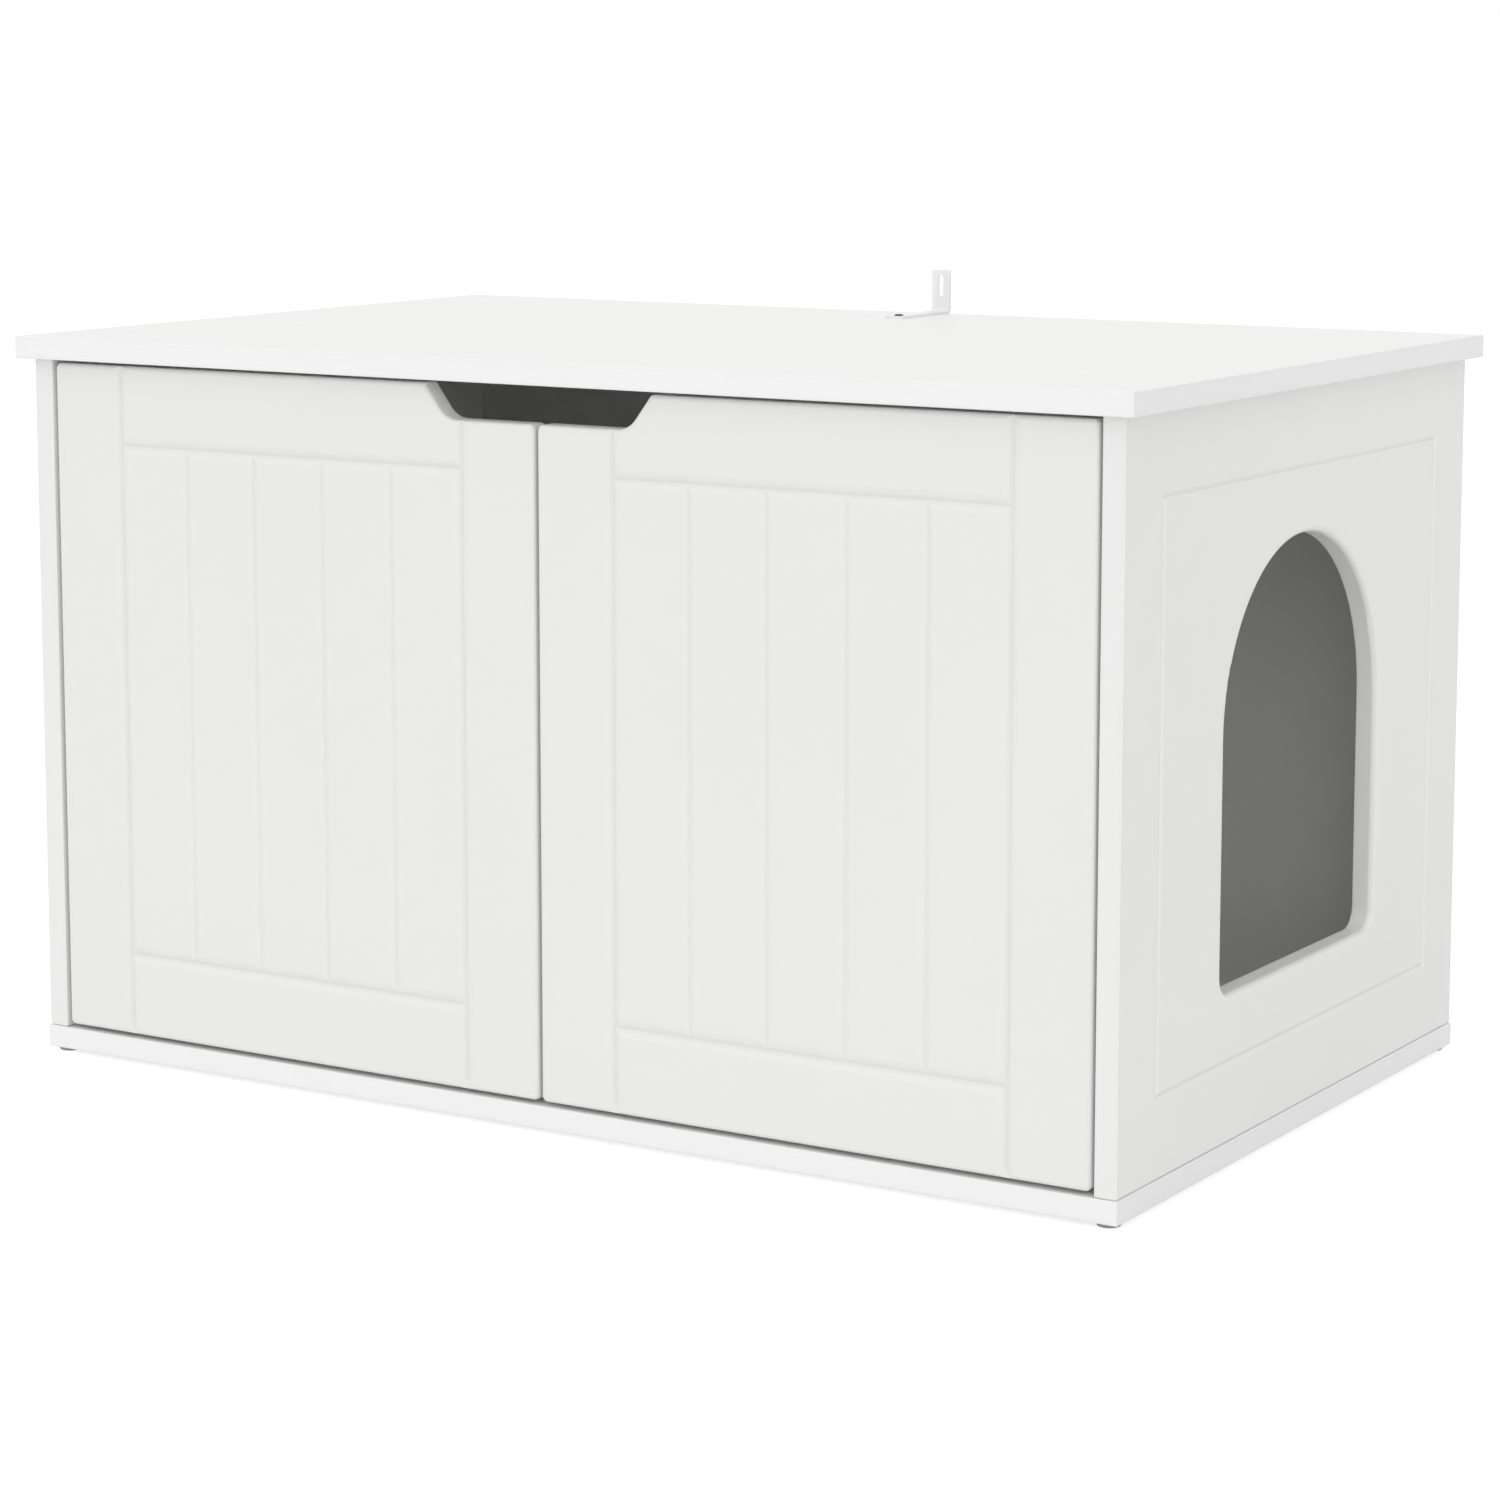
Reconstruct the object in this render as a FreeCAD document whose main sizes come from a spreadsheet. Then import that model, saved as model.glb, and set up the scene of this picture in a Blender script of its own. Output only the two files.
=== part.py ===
import FreeCAD, Part
import math
import os
import re

import Sketcher

# Cat house: a two-door board cabinet with an arched entry in its right side.
# X runs right, Y runs back, Z runs up. The origin is on the floor, under the middle of the top.

doc = FreeCAD.newDocument("cat_house")
sheet = doc.addObject("Spreadsheet::Sheet", "sizes")

# Driving dimensions in millimetres, one cell each, with the alias and what it measures
driving_sizes = (
    ("carcass_width", 880, "over the outer faces of the two sides"),
    ("carcass_depth", 550, "front edge to back edge of a side"),
    ("side_height", 495, "side, standing on the base and carrying the top"),
    ("board_thickness", 16, "carcass boards"),
    ("top_overhang", 10, "top past the carcass, all round"),
    ("base_reveal", 1, "base past the carcass, all round"),
    ("board_arris", 0.8, "softened edges of the boards"),
    ("joint_arris", 1.8, "softened lower edge of a side, which leaves a fine line over the base"),
    ("foot_height", 3, "glide under the base"),
    ("foot_radius", 8, "glide"),
    ("foot_inset", 11, "glide's middle in from the edges of the base"),
    ("foot_rounding", 1, "lower edge of a glide"),
    ("nail_radius", 1.2, "nail of a glide"),
    ("nail_length", 11, "nail in the base"),
    ("door_thickness", 16, "door board"),
    ("door_gap", 3, "round and between the doors"),
    ("door_edge_radius", 3, "rounded front edges of a door"),
    ("door_corner_radius", 4, "rounded corners of a door's outline"),
    ("notch_mouth", 92, "half the finger notch's width at the top edge of the doors"),
    ("notch_floor", 74, "half the finger notch's width at its floor"),
    ("notch_depth", 24, "finger notch below the top edge of the doors"),
    ("notch_lip_radius", 2.5, "corner where the notch meets the top edge"),
    ("notch_floor_radius", 18, "corner of the notch's floor"),
    ("frame_inset", 60, "middle of the frame grooves in from a door's sides and bottom"),
    ("head_rail_inset", 57, "middle of the upper frame groove below a door's top"),
    ("frame_groove_width", 14, "groove between frame and planks"),
    ("frame_groove_depth", 1.8, "groove between frame and planks"),
    ("plank_count", 5, "planks of a door"),
    ("plank_groove_width", 11, "groove between planks"),
    ("plank_groove_depth", 1.25, "groove between planks"),
    ("arch_width", 250, "cat entry"),
    ("arch_straight", 170, "entry's straight sides, from sill to spring line"),
    ("arch_sill", 100, "entry's sill above the base"),
    ("arch_corner_radius", 15, "lower corners of the entry"),
    ("arch_arris", 4.5, "rounded outer rim of the entry"),
    ("line_margin", 55, "routed line on a side, in from its edges"),
    ("line_width", 5, "routed line"),
    ("line_depth", 1.5, "routed line"),
    ("hinge_inset", 95, "hinge's middle in from the top or bottom edge of a door"),
    ("pivot_from_edge", 11, "hinge pin in from the outer edge of a door"),
    ("pivot_from_front", 9, "hinge pin behind the face of a door"),
    ("pin_radius", 2, "hinge pin"),
    ("pin_play", 0.05, "running clearance of an arm's eye on its pin"),
    ("cup_from_edge", 22.5, "cup's middle in from the outer edge of a door"),
    ("cup_radius", 17.5, "cup"),
    ("cup_depth", 11.5, "cup below the back face of a door"),
    ("cup_wall", 0.8, "cup"),
    ("cup_rim", 1.5, "rim past the cup"),
    ("flange_thickness", 1, "cup's rim and ears"),
    ("ear_reach", 30, "end of an ear from the cup's middle"),
    ("ear_half_width", 7, "ear"),
    ("ear_corner", 3.5, "rounded corners of an ear"),
    ("ear_offset", 6, "ears further from the door's edge than the cup's middle"),
    ("ear_screw_spacing", 48, "between the two cup screws"),
    ("arm_width", 12, "arm, along the pin"),
    ("arm_side_play", 0.3, "between the arm and the cup's pin bosses"),
    ("arm_thickness", 3, "arm strip"),
    ("arm_bend", 1, "inside radius of the arm's bends"),
    ("eye_wall", 1.15, "arm's eye round the pin's play"),
    ("arm_reach", 11.5, "from the pin to the riser of the arm"),
    ("arm_rise", 13.5, "from the pin back to the return of the arm"),
    ("arm_end", 72, "end of the arm behind the door's face"),
    ("plate_thickness", 6, "mounting block under the arm"),
    ("plate_start", 36, "mounting block behind the door's face"),
    ("plate_wing", 2.5, "wings of the mounting plate"),
    ("wing_half_width", 7, "wings of the mounting plate"),
    ("wing_reach", 25, "end of a wing from the plate's middle"),
    ("wing_corner", 3.5, "rounded corners of a wing"),
    ("plate_screw_setback", 53, "plate screws behind the door's face"),
    ("plate_screw_spacing", 32, "between the two screws of a plate"),
    ("arm_screw_setback", 64, "arm screw behind the door's face"),
    ("screw_radius", 1.75, "chipboard screw"),
    ("screw_length", 11, "chipboard screw in its board"),
    ("screw_head_radius", 3.5, "pan head"),
    ("screw_head_height", 2, "pan head"),
    ("arm_screw_radius", 2, "machine screw through the arm"),
    ("hole_play", 0.05, "round screws, dowels, bolts and inserts in their holes"),
    ("catch_position", 150, "catch's middle from the middle of the cabinet"),
    ("catch_width", 44, "magnetic catch"),
    ("catch_depth", 15, "magnetic catch"),
    ("catch_height", 15, "magnetic catch under the top"),
    ("catch_corner", 0.8, "rounded upright corners of a catch"),
    ("catch_gap", 0.3, "between magnet and strike plate"),
    ("catch_screw_spacing", 32, "between the two screws of a catch"),
    ("magnet_width", 20, "magnet block"),
    ("magnet_height", 6, "magnet block"),
    ("magnet_depth", 9, "magnet block"),
    ("strike_width", 30, "strike plate"),
    ("strike_height", 12, "strike plate"),
    ("strike_thickness", 1.2, "strike plate"),
    ("strike_drop", 4, "strike plate below the top edge of a door"),
    ("base_screw_radius", 3.3, "connector screw from below the base"),
    ("base_screw_length", 40, "connector screw above the base's underside"),
    ("base_screw_head_radius", 5, "connector screw's sunk head"),
    ("base_screw_head_height", 3, "connector screw's sunk head"),
    ("joint_setback", 95, "outer joint of a board in from its end"),
    ("cam_radius", 7.5, "cam lock"),
    ("cam_depth", 12.5, "cam lock in its board"),
    ("cam_setback", 34, "cam's middle from the edge of its board"),
    ("cam_slot", 7, "slot in a cam for the bolt's head"),
    ("bolt_radius", 3, "cam bolt's shank"),
    ("bolt_thread_radius", 2.5, "cam bolt's thread"),
    ("bolt_thread_length", 10, "cam bolt's thread in the other board"),
    ("dowel_radius", 4, "dowel"),
    ("dowel_half_length", 11, "dowel, either side of the joint"),
    ("dowel_offset", 64, "dowel beside its cam bolt"),
    ("bracket_width", 16, "wall bracket"),
    ("bracket_thickness", 2, "wall bracket"),
    ("bracket_bend", 2, "inside radius of the bracket's bend"),
    ("bracket_foot", 76, "bracket along the top"),
    ("bracket_upright", 34, "bracket above the top"),
    ("bracket_hole_setback", 68, "bracket's screw from the back edge of the top"),
    ("bracket_slot_width", 4.2, "slot for a wall screw"),
    ("bracket_slot_length", 17, "slot for a wall screw"),
    ("bracket_slot_height", 21.5, "slot's middle above the top"),
    ("bracket_corner", 1.2, "rounded corners of the bracket"),
    ("bracket_screw_head", 0.9, "flat head of the bracket's screw"),
)
for row, (alias, length, note) in enumerate(driving_sizes, start=1):
    sheet.set(f"A{row}", alias)
    sheet.set(f"B{row}", str(length))
    sheet.setAlias(f"B{row}", alias)
    sheet.set(f"C{row}", note)
doc.recompute()
alias_pattern = re.compile(r"\b(" + "|".join(alias for alias, _, _ in driving_sizes) + r")\b")

# Levels and planes that the pieces share, as formulas of the driving dimensions
base_top = "(foot_height + board_thickness)"
under_top = f"({base_top} + side_height)"
top_face = f"({under_top} + board_thickness)"
front = "(-carcass_depth / 2)"
back = "(carcass_depth / 2)"
side_outer = "(carcass_width / 2)"
side_inner = "(carcass_width / 2 - board_thickness)"
top_back = "(carcass_depth / 2 + top_overhang)"
back_inner = f"({back} - board_thickness)"
side_middle = "(carcass_width / 2 - board_thickness / 2)"
back_middle = f"({back} - board_thickness / 2)"
door_bottom = f"({base_top} + door_gap)"
door_top = f"({under_top} - door_gap)"
door_back = f"({front} + door_thickness)"
door_meeting = "(door_gap / 2)"
door_outer = f"({side_inner} - door_gap)"
groove_outer = f"({door_outer} - frame_inset)"
groove_inner = f"({door_meeting} + frame_inset)"
groove_top = f"({door_top} - head_rail_inset)"
groove_bottom = f"({door_bottom} + frame_inset)"
hinge_levels = {"upper": f"({door_top} - hinge_inset)", "lower": f"({door_bottom} + hinge_inset)"}
hands = {"left": -1, "right": 1}

# Direction of a sketch's normal along the axis that its plane is square to
normals = {"XY_Plane": 1, "YZ_Plane": 1, "XZ_Plane": -1}

# How near a point lies to a plane or a line to count as on it
touching = 1e-4


def bound(formula):
    """The formula with every alias written as a reference to the sheet."""
    return alias_pattern.sub(r"sizes.\1", formula)


def number(formula):
    """The formula's present value."""
    return float(sheet.evalExpression(formula))


def handed(hand, formula):
    """An X formula on the left (-1) or right (1) half of the cabinet."""
    return f"({hand} * {formula})"


def handed_ends(hand, first, last):
    """Two X formulas on one half of the cabinet, the lower one first."""
    return sorted((handed(hand, first), handed(hand, last)), key=number)


def new_body(label, several=False):
    """An empty body; several allows it a group of separate solids."""
    body = doc.addObject("PartDesign::Body", label)
    body.Label = label
    body.AllowCompound = several
    return body


def new_sketch(body, plane, level):
    """A sketch parallel to one of the body's origin planes, at a level along that plane's axis."""
    sketch = body.newObject("Sketcher::SketchObject", "sketch")
    support = next(feature for feature in body.Origin.OriginFeatures if feature.Role == plane)
    sketch.AttachmentSupport = [(support, "")]
    sketch.MapMode = "FlatFace"
    sketch.setExpression("AttachmentOffset.Base.z", bound(f"{normals[plane]} * {level}"))
    return sketch


def constrain(sketch, kind, *target, formula):
    """A constraint of the sketch, bound to the formula."""
    index = sketch.addConstraint(Sketcher.Constraint(kind, *target, number(formula)))
    sketch.setExpression(f"Constraints[{index}]", bound(formula))


def draw_outline(sketch, corners):
    """A closed outline. A corner is (x, y), or (x, y, radius, turn) where an arc leads to the next one:
    turn is 1 for a counter-clockwise arc and -1 for a clockwise one."""
    points = [FreeCAD.Vector(number(corner[0]), number(corner[1]), 0) for corner in corners]
    starts = []
    ends = []
    for corner, start, end in zip(corners, points, points[1:] + points[:1]):
        if len(corner) == 2:
            edge = sketch.addGeometry(Part.LineSegment(start, end))
            starts.append((edge, 1))
            ends.append((edge, 2))
            continue
        radius, turn = number(corner[2]), corner[3]
        chord = end - start
        to_left = FreeCAD.Vector(-chord.y, chord.x, 0).normalize()
        height = math.sqrt(max(radius**2 - chord.Length**2 / 4, 0))
        centre = (start + end) / 2 + to_left * turn * height
        first, last = (start, end) if turn > 0 else (end, start)
        angles = [math.atan2(point.y - centre.y, point.x - centre.x) for point in (first, last)]
        circle = Part.Circle(centre, FreeCAD.Vector(0, 0, 1), radius)
        edge = sketch.addGeometry(Part.ArcOfCircle(circle, angles[0], angles[1]))
        starts.append((edge, 1 if turn > 0 else 2))
        ends.append((edge, 2 if turn > 0 else 1))
    for end, start in zip(ends, starts[1:] + starts[:1]):
        sketch.addConstraint(Sketcher.Constraint("Coincident", *end, *start))
    for corner, start in zip(corners, starts):
        constrain(sketch, "DistanceX", -1, 1, *start, formula=corner[0])
        constrain(sketch, "DistanceY", -1, 1, *start, formula=corner[1])
        if len(corner) > 2:
            constrain(sketch, "Radius", start[0], formula=corner[2])


def draw_rectangle(sketch, low_x, high_x, low_y, high_y):
    """A rectangle between two X and two Y formulas."""
    draw_outline(sketch, ((low_x, low_y), (high_x, low_y), (high_x, high_y), (low_x, high_y)))


def draw_circles(sketch, centres, radius):
    """One circle of the radius at each centre."""
    for centre in centres:
        place = FreeCAD.Vector(number(centre[0]), number(centre[1]), 0)
        circle = sketch.addGeometry(Part.Circle(place, FreeCAD.Vector(0, 0, 1), number(radius)))
        constrain(sketch, "DistanceX", -1, 1, circle, 3, formula=centre[0])
        constrain(sketch, "DistanceY", -1, 1, circle, 3, formula=centre[1])
        constrain(sketch, "Radius", circle, formula=radius)


def draw_groove(sketch, across, along_first, width, depth):
    """A groove's section in the doors' face: two pillowed shoulders that meet in a sharp root.
    Its middle is at across; along_first says that the sketch's first axis runs along the face."""
    half = f"({width} / 2)"
    shoulder = f"(({half}^2 + {depth}^2) / (2 * {depth}))"
    low, high = f"({across} - {half})", f"({across} + {half})"
    root = f"({front} + {depth})"
    if along_first:
        draw_outline(sketch, ((low, front, shoulder, 1), (across, root, shoulder, 1), (high, front)))
    else:
        draw_outline(sketch, ((front, low, shoulder, -1), (root, across, shoulder, -1), (front, high)))


def extrude(body, kind, plane, low, high, draw):
    """A Pad or Pocket of what draw puts in a sketch, from the low to the high level along the plane's axis."""
    sketch = new_sketch(body, plane, low)
    draw(sketch)
    feature = body.newObject(f"PartDesign::{kind}", kind.lower())
    feature.Profile = sketch
    feature.Type = "Length"
    feature.setExpression("Length", bound(f"{high} - {low}"))
    against_normal = kind == "Pocket"
    feature.Reversed = against_normal if normals[plane] > 0 else not against_normal
    doc.recompute()
    return feature


def block(body, plane, low, high, low_x, high_x, low_y, high_y, kind="Pad"):
    """A rectangular Pad or Pocket between levels."""
    return extrude(body, kind, plane, low, high,
                   lambda sketch: draw_rectangle(sketch, low_x, high_x, low_y, high_y))


def rods(body, plane, centres, low, high, radius, kind="Pad"):
    """Round pads, or round holes as a Pocket, at the centres between levels."""
    return extrude(body, kind, plane, low, high, lambda sketch: draw_circles(sketch, centres, radius))


def bores(body, plane, centres, low, high, radius):
    """Round holes with their play, and a test that they cut."""
    before = body.Shape.Volume
    rods(body, plane, centres, low, high, f"({radius} + hole_play)", kind="Pocket")
    assert body.Shape.Volume < before, body.Label


def round_edges(body, chosen, radius):
    """A fillet on the edges of the body's shape that chosen accepts."""
    base = body.Tip
    names = [f"Edge{index}" for index, edge in enumerate(base.Shape.Edges, start=1) if chosen(edge)]
    fillet = body.newObject("PartDesign::Fillet", "fillet")
    fillet.Base = (base, names)
    fillet.setExpression("Radius", bound(radius))
    doc.recompute()


def in_plane(axis, *levels):
    """Chooses the edges that lie in a plane square to the axis (0, 1 or 2) at one of the levels."""
    places = [number(level) for level in levels]

    def chosen(edge):
        values = [vertex.Point[axis] for vertex in edge.Vertexes] + [edge.CenterOfMass[axis]]
        return any(max(abs(value - place) for value in values) < touching for place in places)

    return chosen


def along(axis, *spots):
    """Chooses the straight edges along the axis through one of the spots, given by the other two coordinates."""
    others = [index for index in range(3) if index != axis]
    places = [[number(value) for value in spot] for spot in spots]

    def chosen(edge):
        return any(all(abs(vertex.Point[other] - value) < touching
                       for vertex in edge.Vertexes for other, value in zip(others, place))
                   for place in places)

    return chosen


# Places of the joints between boards
joint_depths = (f"({front} + joint_setback)", f"({back_inner} - joint_setback)")
joint_heights = (f"({under_top} - joint_setback)", f"({base_top} + joint_setback)")
joint_widths = (f"(-{side_inner} + joint_setback)", f"({side_inner} - joint_setback)")
side_bolts = [(handed(hand, side_middle), depth) for hand in hands.values() for depth in joint_depths]
back_bolts = [(width, back_middle) for width in joint_widths]
side_dowels = [(handed(hand, side_middle), f"({depth} {sign} dowel_offset)")
               for hand in hands.values() for depth, sign in zip(joint_depths, "+-")]
back_dowels = [(f"({width} {sign} dowel_offset)", back_middle) for width, sign in zip(joint_widths, "+-")]
screw_depths = (joint_depths[0], "(0 * carcass_depth)", joint_depths[1])
screw_widths = (joint_widths[0], "(0 * carcass_width)", joint_widths[1])
base_screw_places = ([(handed(hand, side_middle), depth) for hand in hands.values() for depth in screw_depths]
                     + [(width, back_middle) for width in screw_widths])
foot_places = [(handed(hand, f"({side_outer} + base_reveal - foot_inset)"),
                f"({sign}({back} + base_reveal - foot_inset))") for hand in hands.values() for sign in "-+"]


# Feet: plastic nail-on glides
feet = new_body("feet", several=True)
rods(feet, "XY_Plane", foot_places, "0 * foot_height", "foot_height", "foot_radius")
round_edges(feet, in_plane(2, "0 * foot_height"), "foot_rounding")
rods(feet, "XY_Plane", foot_places, "foot_height", "(foot_height + nail_length)", "nail_radius")

# Base: the board that everything stands on, bored for the glides' nails and the connector screws
base_panel = new_body("base_panel")
block(base_panel, "XY_Plane", "foot_height", base_top,
      f"(-{side_outer} - base_reveal)", f"({side_outer} + base_reveal)",
      f"({front} - base_reveal)", f"({back} + base_reveal)")
round_edges(base_panel, lambda edge: True, "board_arris")
bores(base_panel, "XY_Plane", foot_places, "foot_height", "(foot_height + nail_length)", "nail_radius")
bores(base_panel, "XY_Plane", base_screw_places, "foot_height", base_top, "base_screw_radius")
bores(base_panel, "XY_Plane", base_screw_places, "foot_height", "(foot_height + base_screw_head_height)",
      "base_screw_head_radius")

# Connector screws, driven up through the base into the sides and the back
base_screws = new_body("base_screws", several=True)
rods(base_screws, "XY_Plane", base_screw_places, "foot_height", "(foot_height + base_screw_head_height)",
     "base_screw_head_radius")
rods(base_screws, "XY_Plane", base_screw_places, "(foot_height + base_screw_head_height)",
     "(foot_height + base_screw_length)", "base_screw_radius")


def side_panel(name, hand):
    """A side board with its routed line and every hole that its neighbours need."""
    body = new_body(f"{name}_side_panel")
    low, high = handed_ends(hand, side_inner, side_outer)
    inner, outer = (low, high) if hand > 0 else (high, low)
    block(body, "YZ_Plane", low, high, front, back, base_top, under_top)
    round_edges(body, along(2, (outer, front), (inner, front), (outer, back)), "board_arris")
    underside = in_plane(2, base_top)
    at_inner = along(1, (inner, base_top))
    at_back = along(0, (back, base_top))
    round_edges(body, lambda edge: underside(edge) and not at_inner(edge) and not at_back(edge), "joint_arris")
    return body


def rout_line(body, hand):
    """The V-shaped line round a side's outer face: a path and the section that is swept along it."""
    near, far = f"({front} + line_margin)", f"({back} - line_margin)"
    bottom, top = f"({base_top} + line_margin)", f"({under_top} - line_margin)"
    outer = handed(hand, side_outer)
    path = new_sketch(body, "YZ_Plane", outer)
    start = "(0 * carcass_depth)"
    draw_outline(path, ((start, bottom), (far, bottom), (far, top), (near, top), (near, bottom)))
    section = new_sketch(body, "XZ_Plane", start)
    draw_outline(section, ((outer, f"({bottom} - line_width / 2)"),
                           (handed(hand, f"({side_outer} - line_depth)"), bottom),
                           (outer, f"({bottom} + line_width / 2)")))
    groove = body.newObject("PartDesign::SubtractivePipe", "line")
    groove.Profile = section
    groove.Spine = (path, [f"Edge{index}" for index in range(1, 6)])
    groove.Transition = "Right corner"
    before = body.Shape.Volume
    doc.recompute()
    assert body.Shape.Volume < before, body.Label


def fit_side(body, hand):
    """Holes of a side: base screws, top bolts and dowels, their cams, the back's bolts and the hinge plates."""
    mine = [place for place in base_screw_places[:6] if number(place[0]) * hand > 0]
    bores(body, "XY_Plane", mine, base_top, "(foot_height + base_screw_length)", "base_screw_radius")
    bolts = [place for place in side_bolts if number(place[0]) * hand > 0]
    bores(body, "XY_Plane", bolts, f"({under_top} - cam_setback)", under_top, "bolt_radius")
    dowels = [place for place in side_dowels if number(place[0]) * hand > 0]
    bores(body, "XY_Plane", dowels, f"({under_top} - dowel_half_length)", under_top, "dowel_radius")
    cams = [(depth, f"({under_top} - cam_setback)") for depth in joint_depths]
    drill_inner(body, hand, cams, "cam_depth", "cam_radius")
    drill_inner(body, hand, [(back_middle, height) for height in joint_heights],
                "bolt_thread_length", "bolt_thread_radius")
    drill_inner(body, hand, [(back_middle, f"({height} {sign} dowel_offset)")
                             for height, sign in zip(joint_heights, "-+")], "dowel_half_length", "dowel_radius")
    screws = [(f"({front} + plate_screw_setback)", f"({level} {sign} plate_screw_spacing / 2)")
              for level in hinge_levels.values() for sign in "-+"]
    drill_inner(body, hand, screws, "screw_length", "screw_radius")


def drill_inner(body, hand, places, depth, radius):
    """Holes into the inner face of a side."""
    low, high = handed_ends(hand, side_inner, f"({side_inner} + {depth})")
    bores(body, "YZ_Plane", places, low, high, radius)


# Sides: the right one has the cat entry, cut before the line is routed round it
side_panels = {}
for name, hand in hands.items():
    side_panels[name] = side_panel(name, hand)
sill = f"({base_top} + arch_sill)"
spring = f"({sill} + arch_straight)"
arch_half = "(arch_width / 2)"


def draw_arch(sketch):
    """The entry: straight sides, rounded lower corners and a half-round head, in two quarter arcs."""
    corner = f"({arch_half} - arch_corner_radius)"
    draw_outline(sketch, ((f"(-{corner})", sill), (corner, sill, "arch_corner_radius", 1),
                          (arch_half, f"({sill} + arch_corner_radius)"), (arch_half, spring, arch_half, 1),
                          ("(0 * arch_width)", f"({spring} + {arch_half})", arch_half, 1),
                          (f"(-{arch_half})", spring), (f"(-{arch_half})", f"({sill} + arch_corner_radius)",
                                                       "arch_corner_radius", 1)))


def on_arch(face):
    """Chooses the rim edges of the entry on one face of the side."""
    on_face = in_plane(0, face)
    reach = number(arch_half) + touching
    lowest, highest = number(sill) - touching, number(spring) + reach

    def chosen(edge):
        middle = edge.CenterOfMass
        return on_face(edge) and abs(middle.y) < reach and lowest < middle.z < highest

    return chosen


extrude(side_panels["right"], "Pocket", "YZ_Plane", side_inner, side_outer, draw_arch)
round_edges(side_panels["right"], on_arch(side_outer), "arch_arris")
round_edges(side_panels["right"], on_arch(side_inner), "board_arris")
for name, hand in hands.items():
    rout_line(side_panels[name], hand)
    fit_side(side_panels[name], hand)

# Back: set between the sides, with its cams on the rear face
back_panel = new_body("back_panel")
block(back_panel, "XZ_Plane", back_inner, back, f"(-{side_inner})", side_inner, base_top, under_top)
bores(back_panel, "XY_Plane", base_screw_places[6:], base_top, "(foot_height + base_screw_length)",
      "base_screw_radius")
bores(back_panel, "XY_Plane", back_bolts, f"({under_top} - cam_setback)", under_top, "bolt_radius")
bores(back_panel, "XY_Plane", back_dowels, f"({under_top} - dowel_half_length)", under_top, "dowel_radius")
back_cam_places = ([(width, f"({under_top} - cam_setback)") for width in joint_widths]
                   + [(handed(hand, f"({side_inner} - cam_setback)"), height)
                      for hand in hands.values() for height in joint_heights])
bores(back_panel, "XZ_Plane", back_cam_places, f"({back} - cam_depth)", back, "cam_radius")
side_bolt_places = [(back_middle, height) for height in joint_heights]
side_dowel_places = [(back_middle, f"({height} {sign} dowel_offset)") for height, sign in zip(joint_heights, "-+")]
for hand in hands.values():
    for places, reach, radius in ((side_bolt_places, "cam_setback", "bolt_radius"),
                                  (side_dowel_places, "dowel_half_length", "dowel_radius")):
        low, high = handed_ends(hand, f"({side_inner} - {reach})", side_inner)
        bores(back_panel, "YZ_Plane", places, low, high, radius)

# Top: overhangs all round and takes the bolts, dowels, catches and bracket
top_panel = new_body("top_panel")
block(top_panel, "XY_Plane", under_top, top_face,
      f"(-{side_outer} - top_overhang)", f"({side_outer} + top_overhang)",
      f"({front} - top_overhang)", top_back)
round_edges(top_panel, lambda edge: True, "board_arris")
bores(top_panel, "XY_Plane", side_bolts + back_bolts, under_top, f"({under_top} + bolt_thread_length)",
      "bolt_thread_radius")
bores(top_panel, "XY_Plane", side_dowels + back_dowels, under_top, f"({under_top} + dowel_half_length)",
      "dowel_radius")

# Dowels and cam bolts standing in the sides and the back, under the top
top_dowels = new_body("top_dowels", several=True)
rods(top_dowels, "XY_Plane", side_dowels + back_dowels, f"({under_top} - dowel_half_length)",
     f"({under_top} + dowel_half_length)", "dowel_radius")
top_cam_bolts = new_body("top_cam_bolts", several=True)
rods(top_cam_bolts, "XY_Plane", side_bolts + back_bolts, f"({under_top} - cam_setback)", under_top, "bolt_radius")
rods(top_cam_bolts, "XY_Plane", side_bolts + back_bolts, under_top, f"({under_top} + bolt_thread_length)",
     "bolt_thread_radius")


def joint_rods(label, name, hand):
    """Bolts or dowels lying between a side and the back: places, ends and radius by label."""
    body = new_body(f"{name}_{label}", several=True)
    if label == "back_dowels":
        places = side_dowel_places
        stages = ((f"({side_inner} - dowel_half_length)", f"({side_inner} + dowel_half_length)", "dowel_radius"),)
    else:
        places = side_bolt_places
        stages = ((f"({side_inner} - cam_setback)", side_inner, "bolt_radius"),
                  (side_inner, f"({side_inner} + bolt_thread_length)", "bolt_thread_radius"))
    for start, end, radius in stages:
        low, high = handed_ends(hand, start, end)
        rods(body, "YZ_Plane", places, low, high, radius)


for name, hand in hands.items():
    joint_rods("back_dowels", name, hand)
    joint_rods("back_cam_bolts", name, hand)

# Cams in the sides, each slotted towards the top for its bolt
for name, hand in hands.items():
    cams = new_body(f"{name}_side_cams", several=True)
    places = [(depth, f"({under_top} - cam_setback)") for depth in joint_depths]
    low, high = handed_ends(hand, side_inner, f"({side_inner} + cam_depth)")
    rods(cams, "YZ_Plane", places, low, high, "cam_radius")
    slots = [place for place in side_bolts if number(place[0]) * hand > 0]
    rods(cams, "XY_Plane", slots, f"({under_top} - cam_setback)", f"({under_top} - cam_setback + cam_radius)",
         "(cam_slot / 2)", kind="Pocket")

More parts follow.
